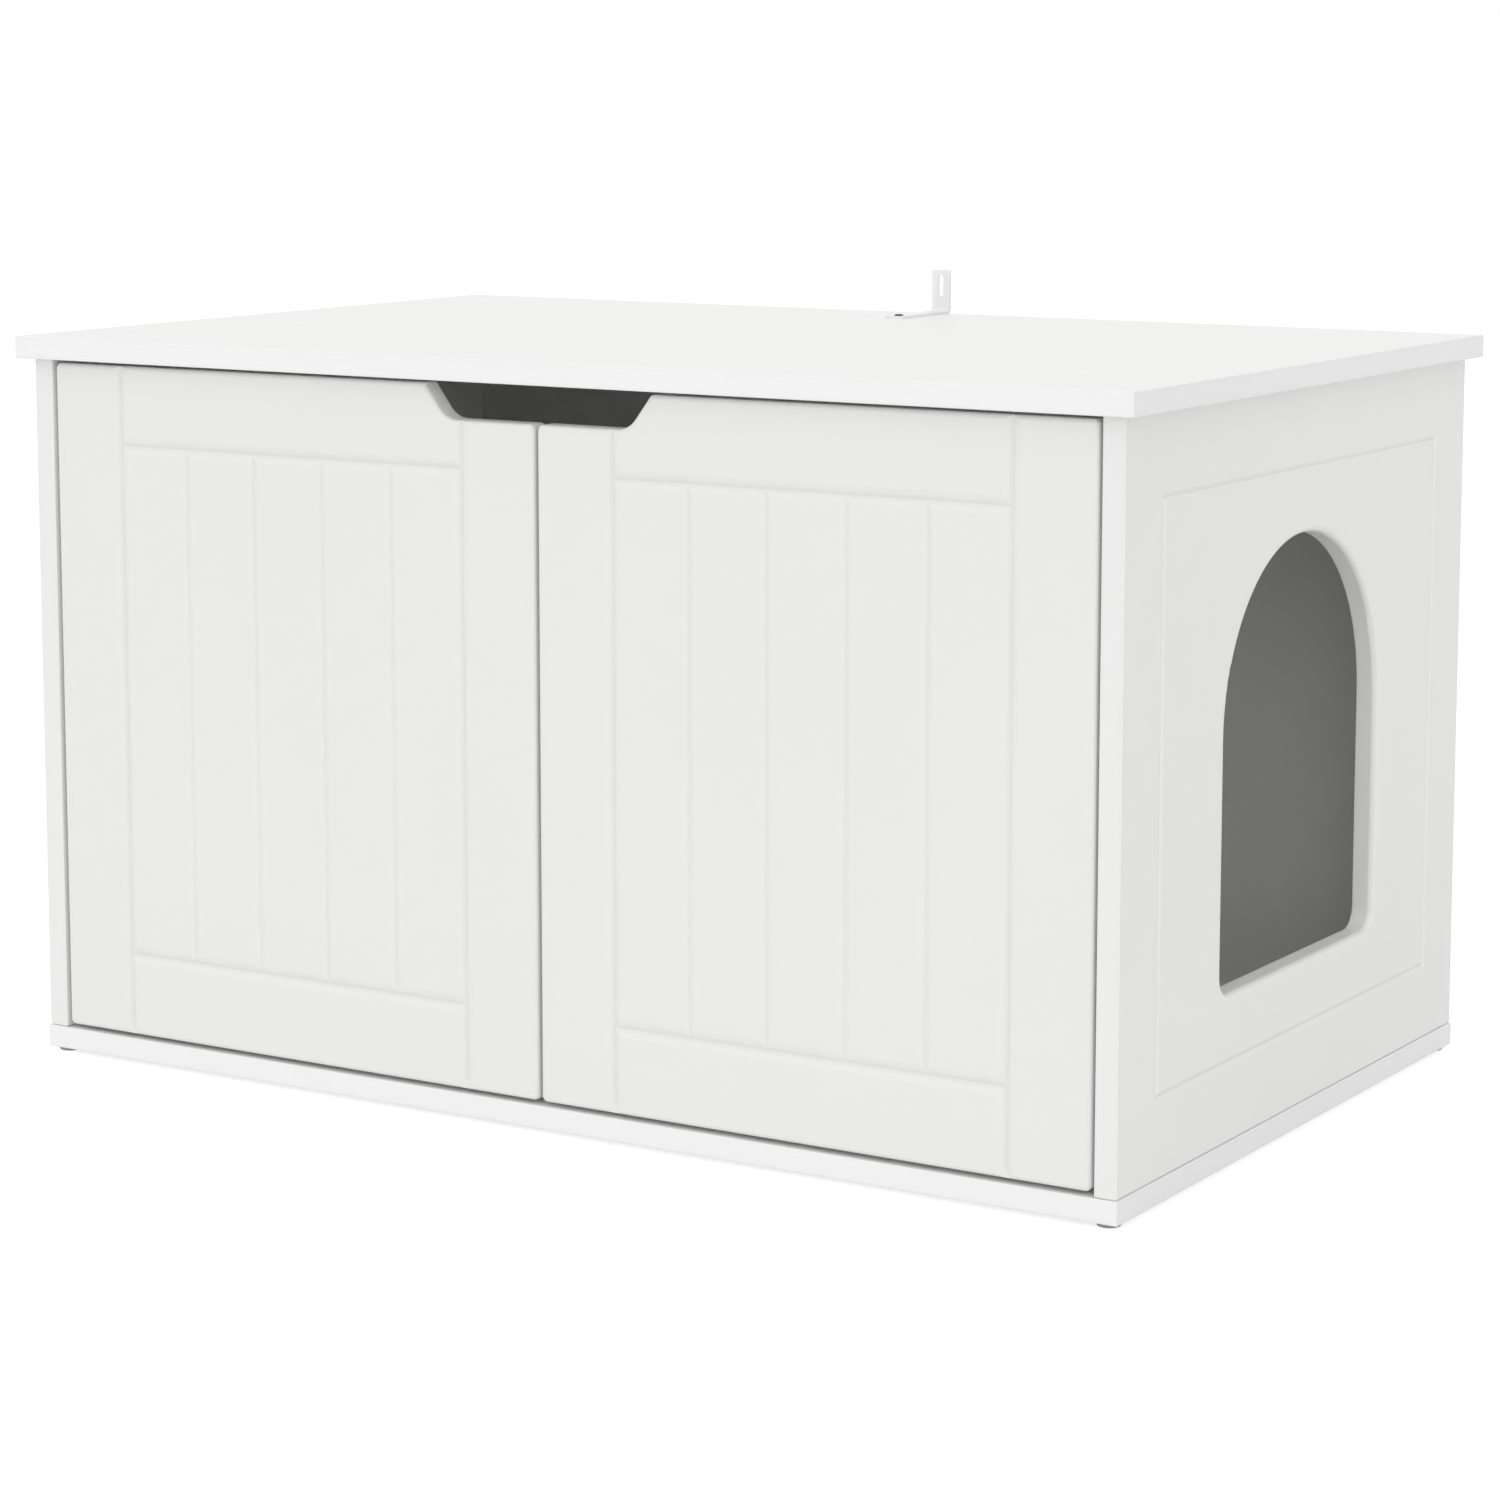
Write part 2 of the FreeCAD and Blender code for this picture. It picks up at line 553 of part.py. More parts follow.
# Cams in the back's rear face, slotted towards the top or towards a side
back_cams = new_body("back_cams", several=True)
rods(back_cams, "XZ_Plane", back_cam_places, f"({back} - cam_depth)", back, "cam_radius")
rods(back_cams, "XY_Plane", back_bolts, f"({under_top} - cam_setback)", f"({under_top} - cam_setback + cam_radius)",
     "(cam_slot / 2)", kind="Pocket")
for hand in hands.values():
    low, high = handed_ends(hand, f"({side_inner} - cam_setback)", f"({side_inner} - cam_setback + cam_radius)")
    rods(back_cams, "YZ_Plane", side_bolt_places, low, high, "(cam_slot / 2)", kind="Pocket")


def door(name, hand):
    """One routed board: outline with half the finger notch, rounded edges, frame and plank grooves, hinge bores."""
    body = new_body(f"{name}_door")
    lip = (handed(hand, "notch_mouth"), door_top)
    floor = (handed(hand, "notch_floor"), f"({door_top} - notch_depth)")
    meeting, outer = handed(hand, door_meeting), handed(hand, door_outer)
    corners = ((meeting, door_bottom), (outer, door_bottom), (outer, door_top), lip, floor, (meeting, floor[1]))
    extrude(body, "Pad", "XZ_Plane", front, door_back, lambda sketch: draw_outline(sketch, corners))
    square = ((meeting, door_bottom), (outer, door_bottom), (outer, door_top), (meeting, floor[1]))
    round_edges(body, along(1, *square), "door_corner_radius")
    round_edges(body, along(1, lip), "notch_lip_radius")
    round_edges(body, along(1, floor), "notch_floor_radius")
    round_edges(body, in_plane(1, front), "door_edge_radius")
    round_edges(body, in_plane(1, door_back), "board_arris")

    # Frame grooves: full height beside the stiles, then between them above and below the planks
    groove_low, groove_high = handed_ends(hand, groove_inner, groove_outer)
    frame_groove = ("frame_groove_width", "frame_groove_depth")
    for across in (groove_low, groove_high):
        extrude(body, "Pocket", "XY_Plane", door_bottom, door_top,
                lambda sketch: draw_groove(sketch, across, True, *frame_groove))
    for across in (groove_bottom, groove_top):
        extrude(body, "Pocket", "YZ_Plane", groove_low, groove_high,
                lambda sketch: draw_groove(sketch, across, False, *frame_groove))

    def draw_planks(sketch):
        for plank in range(1, int(number("plank_count"))):
            across = f"({groove_low} + ({groove_high} - {groove_low}) * {plank} / plank_count)"
            draw_groove(sketch, across, True, "plank_groove_width", "plank_groove_depth")

    extrude(body, "Pocket", "XY_Plane", groove_bottom, groove_top, draw_planks)

    # Bores for the hinge cups and the screws of cups and strike plate
    cups = [(handed(hand, f"({door_outer} - cup_from_edge)"), level) for level in hinge_levels.values()]
    bores(body, "XZ_Plane", cups, f"({door_back} - cup_depth)", door_back, "cup_radius")
    bores(body, "XZ_Plane", cup_screw_places(hand), f"({door_back} - screw_length)", door_back, "screw_radius")
    bores(body, "XZ_Plane", [strike_middle(hand)], f"({door_back} - screw_length)", door_back, "screw_radius")


def cup_screw_places(hand):
    """The two screws of each cup on a door, as X and Z formulas."""
    across = handed(hand, f"({door_outer} - cup_from_edge - ear_offset)")
    return [(across, f"({level} {sign} ear_screw_spacing / 2)") for level in hinge_levels.values() for sign in "-+"]


def strike_middle(hand):
    """The middle of a strike plate, as X and Z formulas."""
    return handed(hand, "catch_position"), f"({door_top} - strike_drop - strike_height / 2)"


# Doors, inset flush with the sides' front edges
for name, hand in hands.items():
    door(name, hand)


def hinge(name, hand, height, level):
    """A concealed hinge: cup and pin on the door, bent arm and mounting plate on the side."""
    across = handed(hand, f"({door_outer} - cup_from_edge)")
    pivot = (handed(hand, f"({door_outer} - pivot_from_edge)"), f"({front} + pivot_from_front)")
    ear_across = f"({door_outer} - cup_from_edge - ear_offset)"
    flange_back = f"({door_back} + flange_thickness)"
    cup_floor = f"({door_back} - cup_depth)"

    # Cup: drawn shell with a rim and two ears, pierced for the pin
    cup = new_body(f"{name}_{height}_hinge_cup")
    rods(cup, "XZ_Plane", [(across, level)], cup_floor, door_back, "cup_radius")
    rods(cup, "XZ_Plane", [(across, level)], door_back, flange_back, "(cup_radius + cup_rim)")
    ears = handed_ends(hand, f"({ear_across} - ear_half_width)", f"({ear_across} + ear_half_width)")
    block(cup, "XZ_Plane", door_back, flange_back, ears[0], ears[1],
          f"({level} - ear_reach)", f"({level} + ear_reach)")
    round_edges(cup, along(1, *[(end, f"({level} {sign} ear_reach)") for end in ears for sign in "-+"]),
                "ear_corner")
    rods(cup, "XZ_Plane", [(across, level)], f"({cup_floor} + cup_wall)", flange_back, "(cup_radius - cup_wall)",
         kind="Pocket")
    screws = [(handed(hand, ear_across), f"({level} {sign} ear_screw_spacing / 2)") for sign in "-+"]
    bores(cup, "XZ_Plane", screws, door_back, flange_back, "screw_radius")

    # Pin: held by two bosses in the cup, either side of the arm, that end at the cup's wall
    eye = "(pin_radius + pin_play + eye_wall)"
    half_pin = f"sqrt(cup_radius^2 - (cup_from_edge - pivot_from_edge + {eye})^2)"
    for sign in "-+":
        ends = (f"({level} {sign} (arm_width / 2 + arm_side_play))", f"({level} {sign} {half_pin})")
        block(cup, "XY_Plane", *sorted(ends, key=number), f"({pivot[0]} - {eye})", f"({pivot[0]} + {eye})",
              cup_floor, f"({pivot[1]} + {eye})")
    pin_ends = (f"({level} - {half_pin})", f"({level} + {half_pin})")
    rods(cup, "XY_Plane", [pivot], *pin_ends, "pin_radius", kind="Pocket")
    pin = new_body(f"{name}_{height}_hinge_pin")
    rods(pin, "XY_Plane", [pivot], *pin_ends, "pin_radius")

    # Arm: a strip bent round the door's edge, from an eye on the pin to its place on the mounting block
    def at(inward, behind):
        return (handed(hand, f"({door_outer} - pivot_from_edge - {inward})"),
                f"({front} + pivot_from_front + {behind})")

    half = "(arm_thickness / 2)"
    riser_far = "(arm_reach + arm_thickness)"
    return_far = "(arm_rise + arm_thickness)"
    seat = "(plate_thickness - door_gap - pivot_from_edge)"
    seat_far = f"({seat} + arm_thickness)"
    tail = "(arm_end - pivot_from_front)"
    strip = (at("0 * arm_reach", f"(-{half})"), at(riser_far, f"(-{half})"), at(riser_far, return_far),
             at(seat_far, return_far), at(seat_far, tail), at(seat, tail), at(seat, "arm_rise"),
             at("arm_reach", "arm_rise"), at("arm_reach", half), at("0 * arm_reach", half))
    arm = new_body(f"{name}_{height}_hinge_arm")
    arm_ends = (f"({level} - arm_width / 2)", f"({level} + arm_width / 2)")
    extrude(arm, "Pad", "XY_Plane", *arm_ends, lambda sketch: draw_outline(sketch, strip))
    round_edges(arm, along(2, strip[3], strip[7], strip[8]), "arm_bend")
    round_edges(arm, along(2, strip[1], strip[2], strip[6]), "arm_bend + arm_thickness")
    rods(arm, "XY_Plane", [pivot], *arm_ends, eye)
    rods(arm, "XY_Plane", [pivot], *arm_ends, "(pin_radius + pin_play)", kind="Pocket")

    # Mounting plate: block under the arm and a winged foot on the side
    plate = new_body(f"{name}_{height}_hinge_plate")
    block_face = f"({side_inner} - plate_thickness)"
    low, high = handed_ends(hand, block_face, side_inner)
    block(plate, "YZ_Plane", low, high, f"({front} + plate_start)", f"({front} + arm_end)", *arm_ends)
    low, high = handed_ends(hand, f"({side_inner} - plate_wing)", side_inner)
    screw_line = f"({front} + plate_screw_setback)"
    block(plate, "YZ_Plane", low, high, f"({screw_line} - wing_half_width)", f"({screw_line} + wing_half_width)",
          f"({level} - wing_reach)", f"({level} + wing_reach)")
    round_edges(plate, along(0, *[(f"({screw_line} {side} wing_half_width)", f"({level} {sign} wing_reach)")
                                  for side in "-+" for sign in "-+"]), "wing_corner")
    screws = [(screw_line, f"({level} {sign} plate_screw_spacing / 2)") for sign in "-+"]
    bores(plate, "YZ_Plane", screws, low, high, "screw_radius")
    arm_screw = [(f"({front} + arm_screw_setback)", level)]
    low, high = handed_ends(hand, block_face, side_inner)
    bores(plate, "YZ_Plane", arm_screw, low, high, "arm_screw_radius")
    low, high = handed_ends(hand, f"({block_face} - arm_thickness)", block_face)
    bores(arm, "YZ_Plane", arm_screw, low, high, "arm_screw_radius")


for name, hand in hands.items():
    for height, level in hinge_levels.items():
        hinge(name, hand, height, level)

# Hinge screws: cup screws ride on their door, plate and arm screws stay on the side
for name, hand in hands.items():
    cup_screws = new_body(f"{name}_cup_screws", several=True)
    flange_back = f"({door_back} + flange_thickness)"
    rods(cup_screws, "XZ_Plane", cup_screw_places(hand), f"({door_back} - screw_length)", flange_back,
         "screw_radius")
    rods(cup_screws, "XZ_Plane", cup_screw_places(hand), flange_back, f"({flange_back} + screw_head_height)",
         "screw_head_radius")

    plate_screws = new_body(f"{name}_plate_screws", several=True)
    places = [(f"({front} + plate_screw_setback)", f"({level} {sign} plate_screw_spacing / 2)")
              for level in hinge_levels.values() for sign in "-+"]
    for start, end, radius in (("(-screw_length)", "plate_wing", "screw_radius"),
                               ("plate_wing", "(plate_wing + screw_head_height)", "screw_head_radius")):
        low, high = handed_ends(hand, f"({side_inner} - {start})", f"({side_inner} - {end})")
        rods(plate_screws, "YZ_Plane", places, low, high, radius)

    arm_screws = new_body(f"{name}_arm_screws", several=True)
    places = [(f"({front} + arm_screw_setback)", level) for level in hinge_levels.values()]
    arm_face = "(plate_thickness + arm_thickness)"
    for start, end, radius in (("0 * arm_thickness", arm_face, "arm_screw_radius"),
                               (arm_face, f"({arm_face} + screw_head_height)", "screw_head_radius")):
        low, high = handed_ends(hand, f"({side_inner} - {start})", f"({side_inner} - {end})")
        rods(arm_screws, "YZ_Plane", places, low, high, radius)


def catch(name, hand):
    """A magnetic catch under the top with its magnet, and the strike plate on the door's back."""
    middle = handed(hand, "catch_position")
    face = f"({door_back} + strike_thickness + catch_gap)"
    tail = f"({face} + catch_depth)"
    strike = strike_middle(hand)
    low_level = f"({under_top} - catch_height)"
    screw_places = [(f"({middle} {sign} catch_screw_spacing / 2)", f"({face} + catch_depth / 2)") for sign in "-+"]
    head_top = f"({low_level} + screw_head_height)"

    def magnet_section(play):
        return (f"({middle} - magnet_width / 2 - {play})", f"({middle} + magnet_width / 2 + {play})",
                f"({strike[1]} - magnet_height / 2 - {play})", f"({strike[1]} + magnet_height / 2 + {play})")

    body = new_body(f"{name}_catch_body")
    block(body, "XY_Plane", low_level, under_top, f"({middle} - catch_width / 2)", f"({middle} + catch_width / 2)",
          face, tail)
    corners = [(f"({middle} {sign} catch_width / 2)", side) for sign in "-+" for side in (face, tail)]
    round_edges(body, along(2, *corners), "catch_corner")
    block(body, "XZ_Plane", face, f"({face} + magnet_depth)", *magnet_section("hole_play"), kind="Pocket")
    bores(body, "XY_Plane", screw_places, low_level, under_top, "screw_radius")
    bores(body, "XY_Plane", screw_places, low_level, head_top, "screw_head_radius")
    bores(top_panel, "XY_Plane", screw_places, under_top, f"({under_top} + screw_length)", "screw_radius")

    magnet = new_body(f"{name}_catch_magnet")
    block(magnet, "XZ_Plane", face, f"({face} + magnet_depth)", *magnet_section("0 * hole_play"))

    screws = new_body(f"{name}_catch_screws", several=True)
    rods(screws, "XY_Plane", screw_places, low_level, head_top, "screw_head_radius")
    rods(screws, "XY_Plane", screw_places, head_top, f"({under_top} + screw_length)", "screw_radius")

    strike_back = f"({door_back} + strike_thickness)"
    plate = new_body(f"{name}_strike_plate")
    block(plate, "XZ_Plane", door_back, strike_back,
          f"({middle} - strike_width / 2)", f"({middle} + strike_width / 2)",
          f"({strike[1]} - strike_height / 2)", f"({strike[1]} + strike_height / 2)")
    bores(plate, "XZ_Plane", [strike], door_back, strike_back, "screw_radius")
    screw = new_body(f"{name}_strike_screw")
    rods(screw, "XZ_Plane", [strike], f"({door_back} - screw_length)", strike_back, "screw_radius")


for name, hand in hands.items():
    catch(name, hand)

# Wall bracket: slotted angle on the top's back edge, held by one screw
bracket_foot_end = f"({top_back} - bracket_foot)"
foot_face = f"({top_face} + bracket_thickness)"
upright_face = f"({top_back} - bracket_thickness)"
bracket_top = f"({top_face} + bracket_upright)"
outer_bend = "(bracket_bend + bracket_thickness)"
slot_middle = f"({top_face} + bracket_slot_height)"
slot_reach = "((bracket_slot_length - bracket_slot_width) / 2)"
half_slot = "(bracket_slot_width / 2)"
bracket_middle = "(0 * bracket_width)"
bracket_hole = [(bracket_middle, f"({top_back} - bracket_hole_setback)")]
bracket_sides = ("(-bracket_width / 2)", "(bracket_width / 2)")
angle = ((bracket_foot_end, top_face), (f"({top_back} - {outer_bend})", top_face, outer_bend, 1),
         (top_back, f"({top_face} + {outer_bend})"), (top_back, bracket_top), (upright_face, bracket_top),
         (upright_face, f"({foot_face} + bracket_bend)", "bracket_bend", -1),
         (f"({upright_face} - bracket_bend)", foot_face), (bracket_foot_end, foot_face))
slot_low, slot_high = f"({slot_middle} - {slot_reach})", f"({slot_middle} + {slot_reach})"
slot = ((f"(-{half_slot})", slot_low, half_slot, 1), (bracket_middle, f"({slot_low} - {half_slot})", half_slot, 1),
        (half_slot, slot_low), (half_slot, slot_high, half_slot, 1),
        (bracket_middle, f"({slot_high} + {half_slot})", half_slot, 1), (f"(-{half_slot})", slot_high))
wall_bracket = new_body("wall_bracket")
extrude(wall_bracket, "Pad", "YZ_Plane", *bracket_sides, lambda sketch: draw_outline(sketch, angle))
round_edges(wall_bracket, along(2, *[(edge, bracket_foot_end) for edge in bracket_sides]), "bracket_corner")
round_edges(wall_bracket, along(1, *[(edge, bracket_top) for edge in bracket_sides]), "bracket_corner")
extrude(wall_bracket, "Pocket", "XZ_Plane", upright_face, top_back, lambda sketch: draw_outline(sketch, slot))
bores(wall_bracket, "XY_Plane", bracket_hole, top_face, foot_face, "screw_radius")
bores(top_panel, "XY_Plane", bracket_hole, f"({top_face} - screw_length)", top_face, "screw_radius")
bracket_screw = new_body("bracket_screw")
rods(bracket_screw, "XY_Plane", bracket_hole, f"({top_face} - screw_length)", foot_face, "screw_radius")
rods(bracket_screw, "XY_Plane", bracket_hole, foot_face, f"({foot_face} + bracket_screw_head)", "screw_head_radius")

# Every object is sound, then each sub-part goes to its own file
doc.recompute()
for item in doc.Objects:
    if {"Invalid", "Error"} & set(item.State):
        raise RuntimeError(f"{item.Label}: {item.State}")
os.makedirs("parts", exist_ok=True)
for body in doc.findObjects("PartDesign::Body"):
    if body.Shape.isNull() or not body.Shape.isValid() or not body.Shape.Solids:
        raise RuntimeError(f"{body.Label}: no sound solid")
    body.Shape.exportStep(f"parts/{body.Label}.step")
    print(body.Label, len(body.Shape.Solids), round(body.Shape.Volume))
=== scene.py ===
import math

import bpy
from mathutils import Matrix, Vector


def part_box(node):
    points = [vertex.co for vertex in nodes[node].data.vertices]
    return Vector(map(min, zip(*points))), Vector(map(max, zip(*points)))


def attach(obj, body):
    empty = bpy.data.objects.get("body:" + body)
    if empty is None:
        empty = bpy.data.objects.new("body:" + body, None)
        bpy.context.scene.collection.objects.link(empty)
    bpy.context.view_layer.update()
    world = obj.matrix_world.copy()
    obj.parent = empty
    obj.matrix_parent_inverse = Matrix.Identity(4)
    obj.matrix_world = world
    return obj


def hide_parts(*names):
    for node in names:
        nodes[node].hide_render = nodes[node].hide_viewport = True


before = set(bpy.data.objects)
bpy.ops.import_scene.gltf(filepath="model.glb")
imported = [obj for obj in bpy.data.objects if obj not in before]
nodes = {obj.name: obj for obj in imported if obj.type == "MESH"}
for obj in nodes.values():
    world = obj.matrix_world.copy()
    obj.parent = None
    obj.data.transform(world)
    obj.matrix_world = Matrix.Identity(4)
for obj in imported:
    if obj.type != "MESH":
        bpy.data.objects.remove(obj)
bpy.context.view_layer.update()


# Base: a chipboard panel faced with white melamine, its four edges banded with the same white.
# Everything stands on it. Its faces carry a fine pearl grain, and its edges are a touch duller
# where they are handled.
def add_node(tree, kind, inputs=None, **settings):
    """A node of the tree, with its settings and with each input either linked or set."""
    made = tree.nodes.new(kind)
    for name, value in settings.items():
        setattr(made, name, value)
    for key, value in (inputs or {}).items():
        if isinstance(value, bpy.types.NodeSocket):
            tree.links.new(value, made.inputs[key])
        else:
            made.inputs[key].default_value = value
    return made


def number(tree, operation, *values):
    """One step of arithmetic on numbers."""
    return add_node(tree, "ShaderNodeMath", dict(enumerate(values)), operation=operation).outputs[0]


def vector(tree, operation, *values):
    """One step of arithmetic on points."""
    return add_node(tree, "ShaderNodeVectorMath", dict(enumerate(values)), operation=operation).outputs[0]


def dot(tree, one, other):
    """The dot product of two directions or points."""
    product = add_node(tree, "ShaderNodeVectorMath", {0: one, 1: other}, operation="DOT_PRODUCT")
    return product.outputs["Value"]


def spread(tree, value, given_span, wanted_span, **settings):
    """A value carried from one span to another and held at the ends."""
    inputs = dict(enumerate((value, *given_span, *wanted_span)))
    return add_node(tree, "ShaderNodeMapRange", inputs, **settings).outputs[0]


def noise(tree, place, scale, detail, **more):
    """A soft random pattern in three dimensions."""
    inputs = {"Vector": place, "Scale": scale, "Detail": detail, **more}
    return add_node(tree, "ShaderNodeTexNoise", inputs).outputs[0]


def open_group(name, kind, sockets):
    """An empty node group with its sockets, given as (direction, name, type), and its two end nodes."""
    group = bpy.data.node_groups.new(name, kind)
    for direction, label, socket in sockets:
        group.interface.new_socket(label, in_out=direction, socket_type=f"NodeSocket{socket}")
    return group, group.nodes.new("NodeGroupInput").outputs, group.nodes.new("NodeGroupOutput")


def close_group(group, end, **results):
    """Links results to the group's outputs, named with underscores for spaces."""
    for name, socket in results.items():
        group.links.new(socket, end.inputs[name.replace("_", " ")])


def board_edge_group():
    """Where a point of a board lies: near an edge, on an edge band, on the band's seam or deep in a groove,
    where painted shade goes.
    """
    group, given, end = open_group("board_edge", "ShaderNodeTree", (
        ("INPUT", "Low corner", "Vector"), ("INPUT", "High corner", "Vector"),
        ("INPUT", "Thin way", "Vector"), ("INPUT", "Reach", "Float"),
        ("OUTPUT", "Rubbed edge", "Float"), ("OUTPUT", "Band seam", "Float"),
        ("OUTPUT", "Edge band", "Float"), ("OUTPUT", "Groove root", "Float")))
    rising = (0.0, 1.0)
    falling = (1.0, 0.0)
    # Spans of depth below a face, and of distance from an edge, over which each mark comes or goes.
    facing_depth = (0.0003, 0.0008)
    half_board = (0.0090, 0.0095)
    groove_shoulder = (0.0005, 0.0014)
    groove_bottom = (0.0019, 0.0024)
    edge_margin = (0.004, 0.010)
    band_thickness = 0.0012
    seam_width = 0.00022
    place = add_node(group, "ShaderNodeTexCoord").outputs["Object"]
    from_low = vector(group, "SUBTRACT", place, given["Low corner"])
    from_high = vector(group, "SUBTRACT", given["High corner"], place)
    clear = vector(group, "ABSOLUTE", vector(group, "MINIMUM", from_low, from_high))
    depth = dot(group, clear, given["Thin way"])
    x, y, z = add_node(group, "ShaderNodeSeparateXYZ", {0: clear}).outputs
    nearer = number(group, "MINIMUM", x, y)
    farther = number(group, "MAXIMUM", x, y)
    # The middle one of the three distances tells how far the nearest edge of the board is.
    distance = number(group, "MAXIMUM", nearer, number(group, "MINIMUM", farther, z))
    below_face = spread(group, depth, facing_depth, rising)
    at_edge = spread(group, distance, half_board, falling)
    band = number(group, "MULTIPLY", below_face, at_edge)
    # Deep in a routed groove, away from the board's edges: the mask that the facings darken as painted
    # shade.
    sunk = spread(group, depth, groove_shoulder, rising)
    shallow = spread(group, depth, groove_bottom, falling)
    root = number(group, "MULTIPLY", sunk, shallow)
    root = number(group, "MULTIPLY", root, spread(group, distance, edge_margin, rising))
    rubbed = spread(group, distance, (0.0, given["Reach"]), falling, interpolation_type="SMOOTHSTEP")
    uneven = number(group, "MULTIPLY", rubbed, noise(group, place, scale=45.0, detail=3.0))
    off_seam = number(group, "ABSOLUTE", number(group, "SUBTRACT", distance, band_thickness))
    seam = spread(group, off_seam, (0.0, seam_width), falling)
    close_group(group, end, Rubbed_edge=uneven, Band_seam=seam, Edge_band=band, Groove_root=root)
    return group


def facing_grain_group():
    """The fine grain of a surface: its height, its cloudy tone and the drift of its gloss."""
    group, given, end = open_group("facing_grain", "ShaderNodeTree", (
        ("INPUT", "Grain size", "Float"), ("OUTPUT", "Height", "Float"),
        ("OUTPUT", "Cloud", "Float"), ("OUTPUT", "Gloss drift", "Float")))
    place = add_node(group, "ShaderNodeTexCoord").outputs["Object"]
    fineness = number(group, "DIVIDE", 1.0, given["Grain size"])
    height = noise(group, place, fineness, detail=2.0, Roughness=0.6)
    cloud = noise(group, place, scale=5.0, detail=2.0)
    drift = noise(group, place, scale=38.0, detail=4.0)
    close_group(group, end, Height=height, Cloud=cloud, Gloss_drift=drift)
    return group


def open_material(name):
    """A new material, with its node tree and its shader."""
    material = bpy.data.materials.new(name)
    material.use_nodes = True
    return material, material.node_tree, material.node_tree.nodes["Principled BSDF"]


def toned(tree, colour, tone):
    """A colour made lighter or darker by a tone."""
    return add_node(tree, "ShaderNodeVectorMath", {0: colour, "Scale": tone}, operation="SCALE").outputs[0]


def link_finish(tree, shader, colour, roughness, height, strength, relief):
    """Links a finish to its shader: colour, roughness, and bumps of a strength and a relief."""
    bump = add_node(tree, "ShaderNodeBump", {"Strength": strength, "Distance": relief, "Height": height})
    tree.links.new(colour, shader.inputs["Base Color"])
    tree.links.new(roughness, shader.inputs["Roughness"])
    tree.links.new(bump.outputs[0], shader.inputs["Normal"])


board_edge = board_edge_group()
facing_grain = facing_grain_group()
noise_span = (0.3, 0.7)
facing_white = (0.875, 0.875, 0.858)
band_white = (0.895, 0.895, 0.895)


def facing(name, low, high, white=facing_white, band=band_white, grain_size=0.0011, relief=0.00006,
           roughness=0.42, seam=0.03, root=0.05):
    """The white facing of one board and the bands on its edges, which its far corners place."""
    rubbed_reach = 0.004
    rubbed_shade = 0.02
    rubbed_dullness = 0.12
    cloud_tone = (0.99, 1.0)
    gloss_drift = (roughness - 0.04, roughness + 0.05)
    material, tree, shader = open_material(name)
    thin = min(range(3), key=lambda axis: high[axis] - low[axis])
    thin_way = [float(axis == thin) for axis in range(3)]
    edge = add_node(tree, "ShaderNodeGroup", node_tree=board_edge, inputs={
        "Low corner": low, "High corner": high, "Thin way": thin_way, "Reach": rubbed_reach}).outputs
    grain = add_node(tree, "ShaderNodeGroup", {"Grain size": grain_size}, node_tree=facing_grain).outputs
    tone = spread(tree, grain["Cloud"], noise_span, cloud_tone)
    # The tone is darkened by wear at rubbed edges, by a dark line on the band seams, and by painted shade
    # deep in the routed grooves.
    for mark, shade in (("Rubbed edge", rubbed_shade), ("Band seam", seam), ("Groove root", root)):
        tone = number(tree, "MULTIPLY_ADD", edge[mark], -shade, tone)
    banded = add_node(tree, "ShaderNodeMix", {0: edge["Edge band"], 6: (*white, 1.0), 7: (*band, 1.0)},
                      data_type="RGBA").outputs[2]
    dull = spread(tree, grain["Gloss drift"], noise_span, gloss_drift)
    dull = number(tree, "MULTIPLY_ADD", edge["Rubbed edge"], rubbed_dullness, dull)
    link_finish(tree, shader, toned(tree, banded, tone), dull, grain["Height"], strength=0.35, relief=relief)
    shader.inputs["IOR"].default_value = 1.46
    return material


def dress(node, material):
    """Gives a carried-over solid its material."""
    nodes[node].data.materials.clear()
    nodes[node].data.materials.append(material)


dress("base_panel", facing("base_facing", *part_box("base_panel")))


# Feet: four round glides of grey moulded plastic, each nailed up into the base near a corner.
# The plastic is matt, with a fine even grain and faint flow marks.
def matt(name, colour, roughness, grain_size=0.0007):
    """A matt plastic, ceramic or coat with an even grain and faint flow marks."""
    flow_tone = (0.9, 1.05)
    gloss_drift = (roughness - 0.05, roughness + 0.07)
    material, tree, shader = open_material(name)
    grain = add_node(tree, "ShaderNodeGroup", {"Grain size": grain_size}, node_tree=facing_grain).outputs
    tone = spread(tree, grain["Gloss drift"], noise_span, flow_tone)
    dull = spread(tree, grain["Cloud"], noise_span, gloss_drift)
    link_finish(tree, shader, toned(tree, colour, tone), dull, grain["Height"], strength=0.5, relief=0.00008)
    return material


dress("feet", matt("glide_plastic", (0.33, 0.33, 0.33), 0.55))


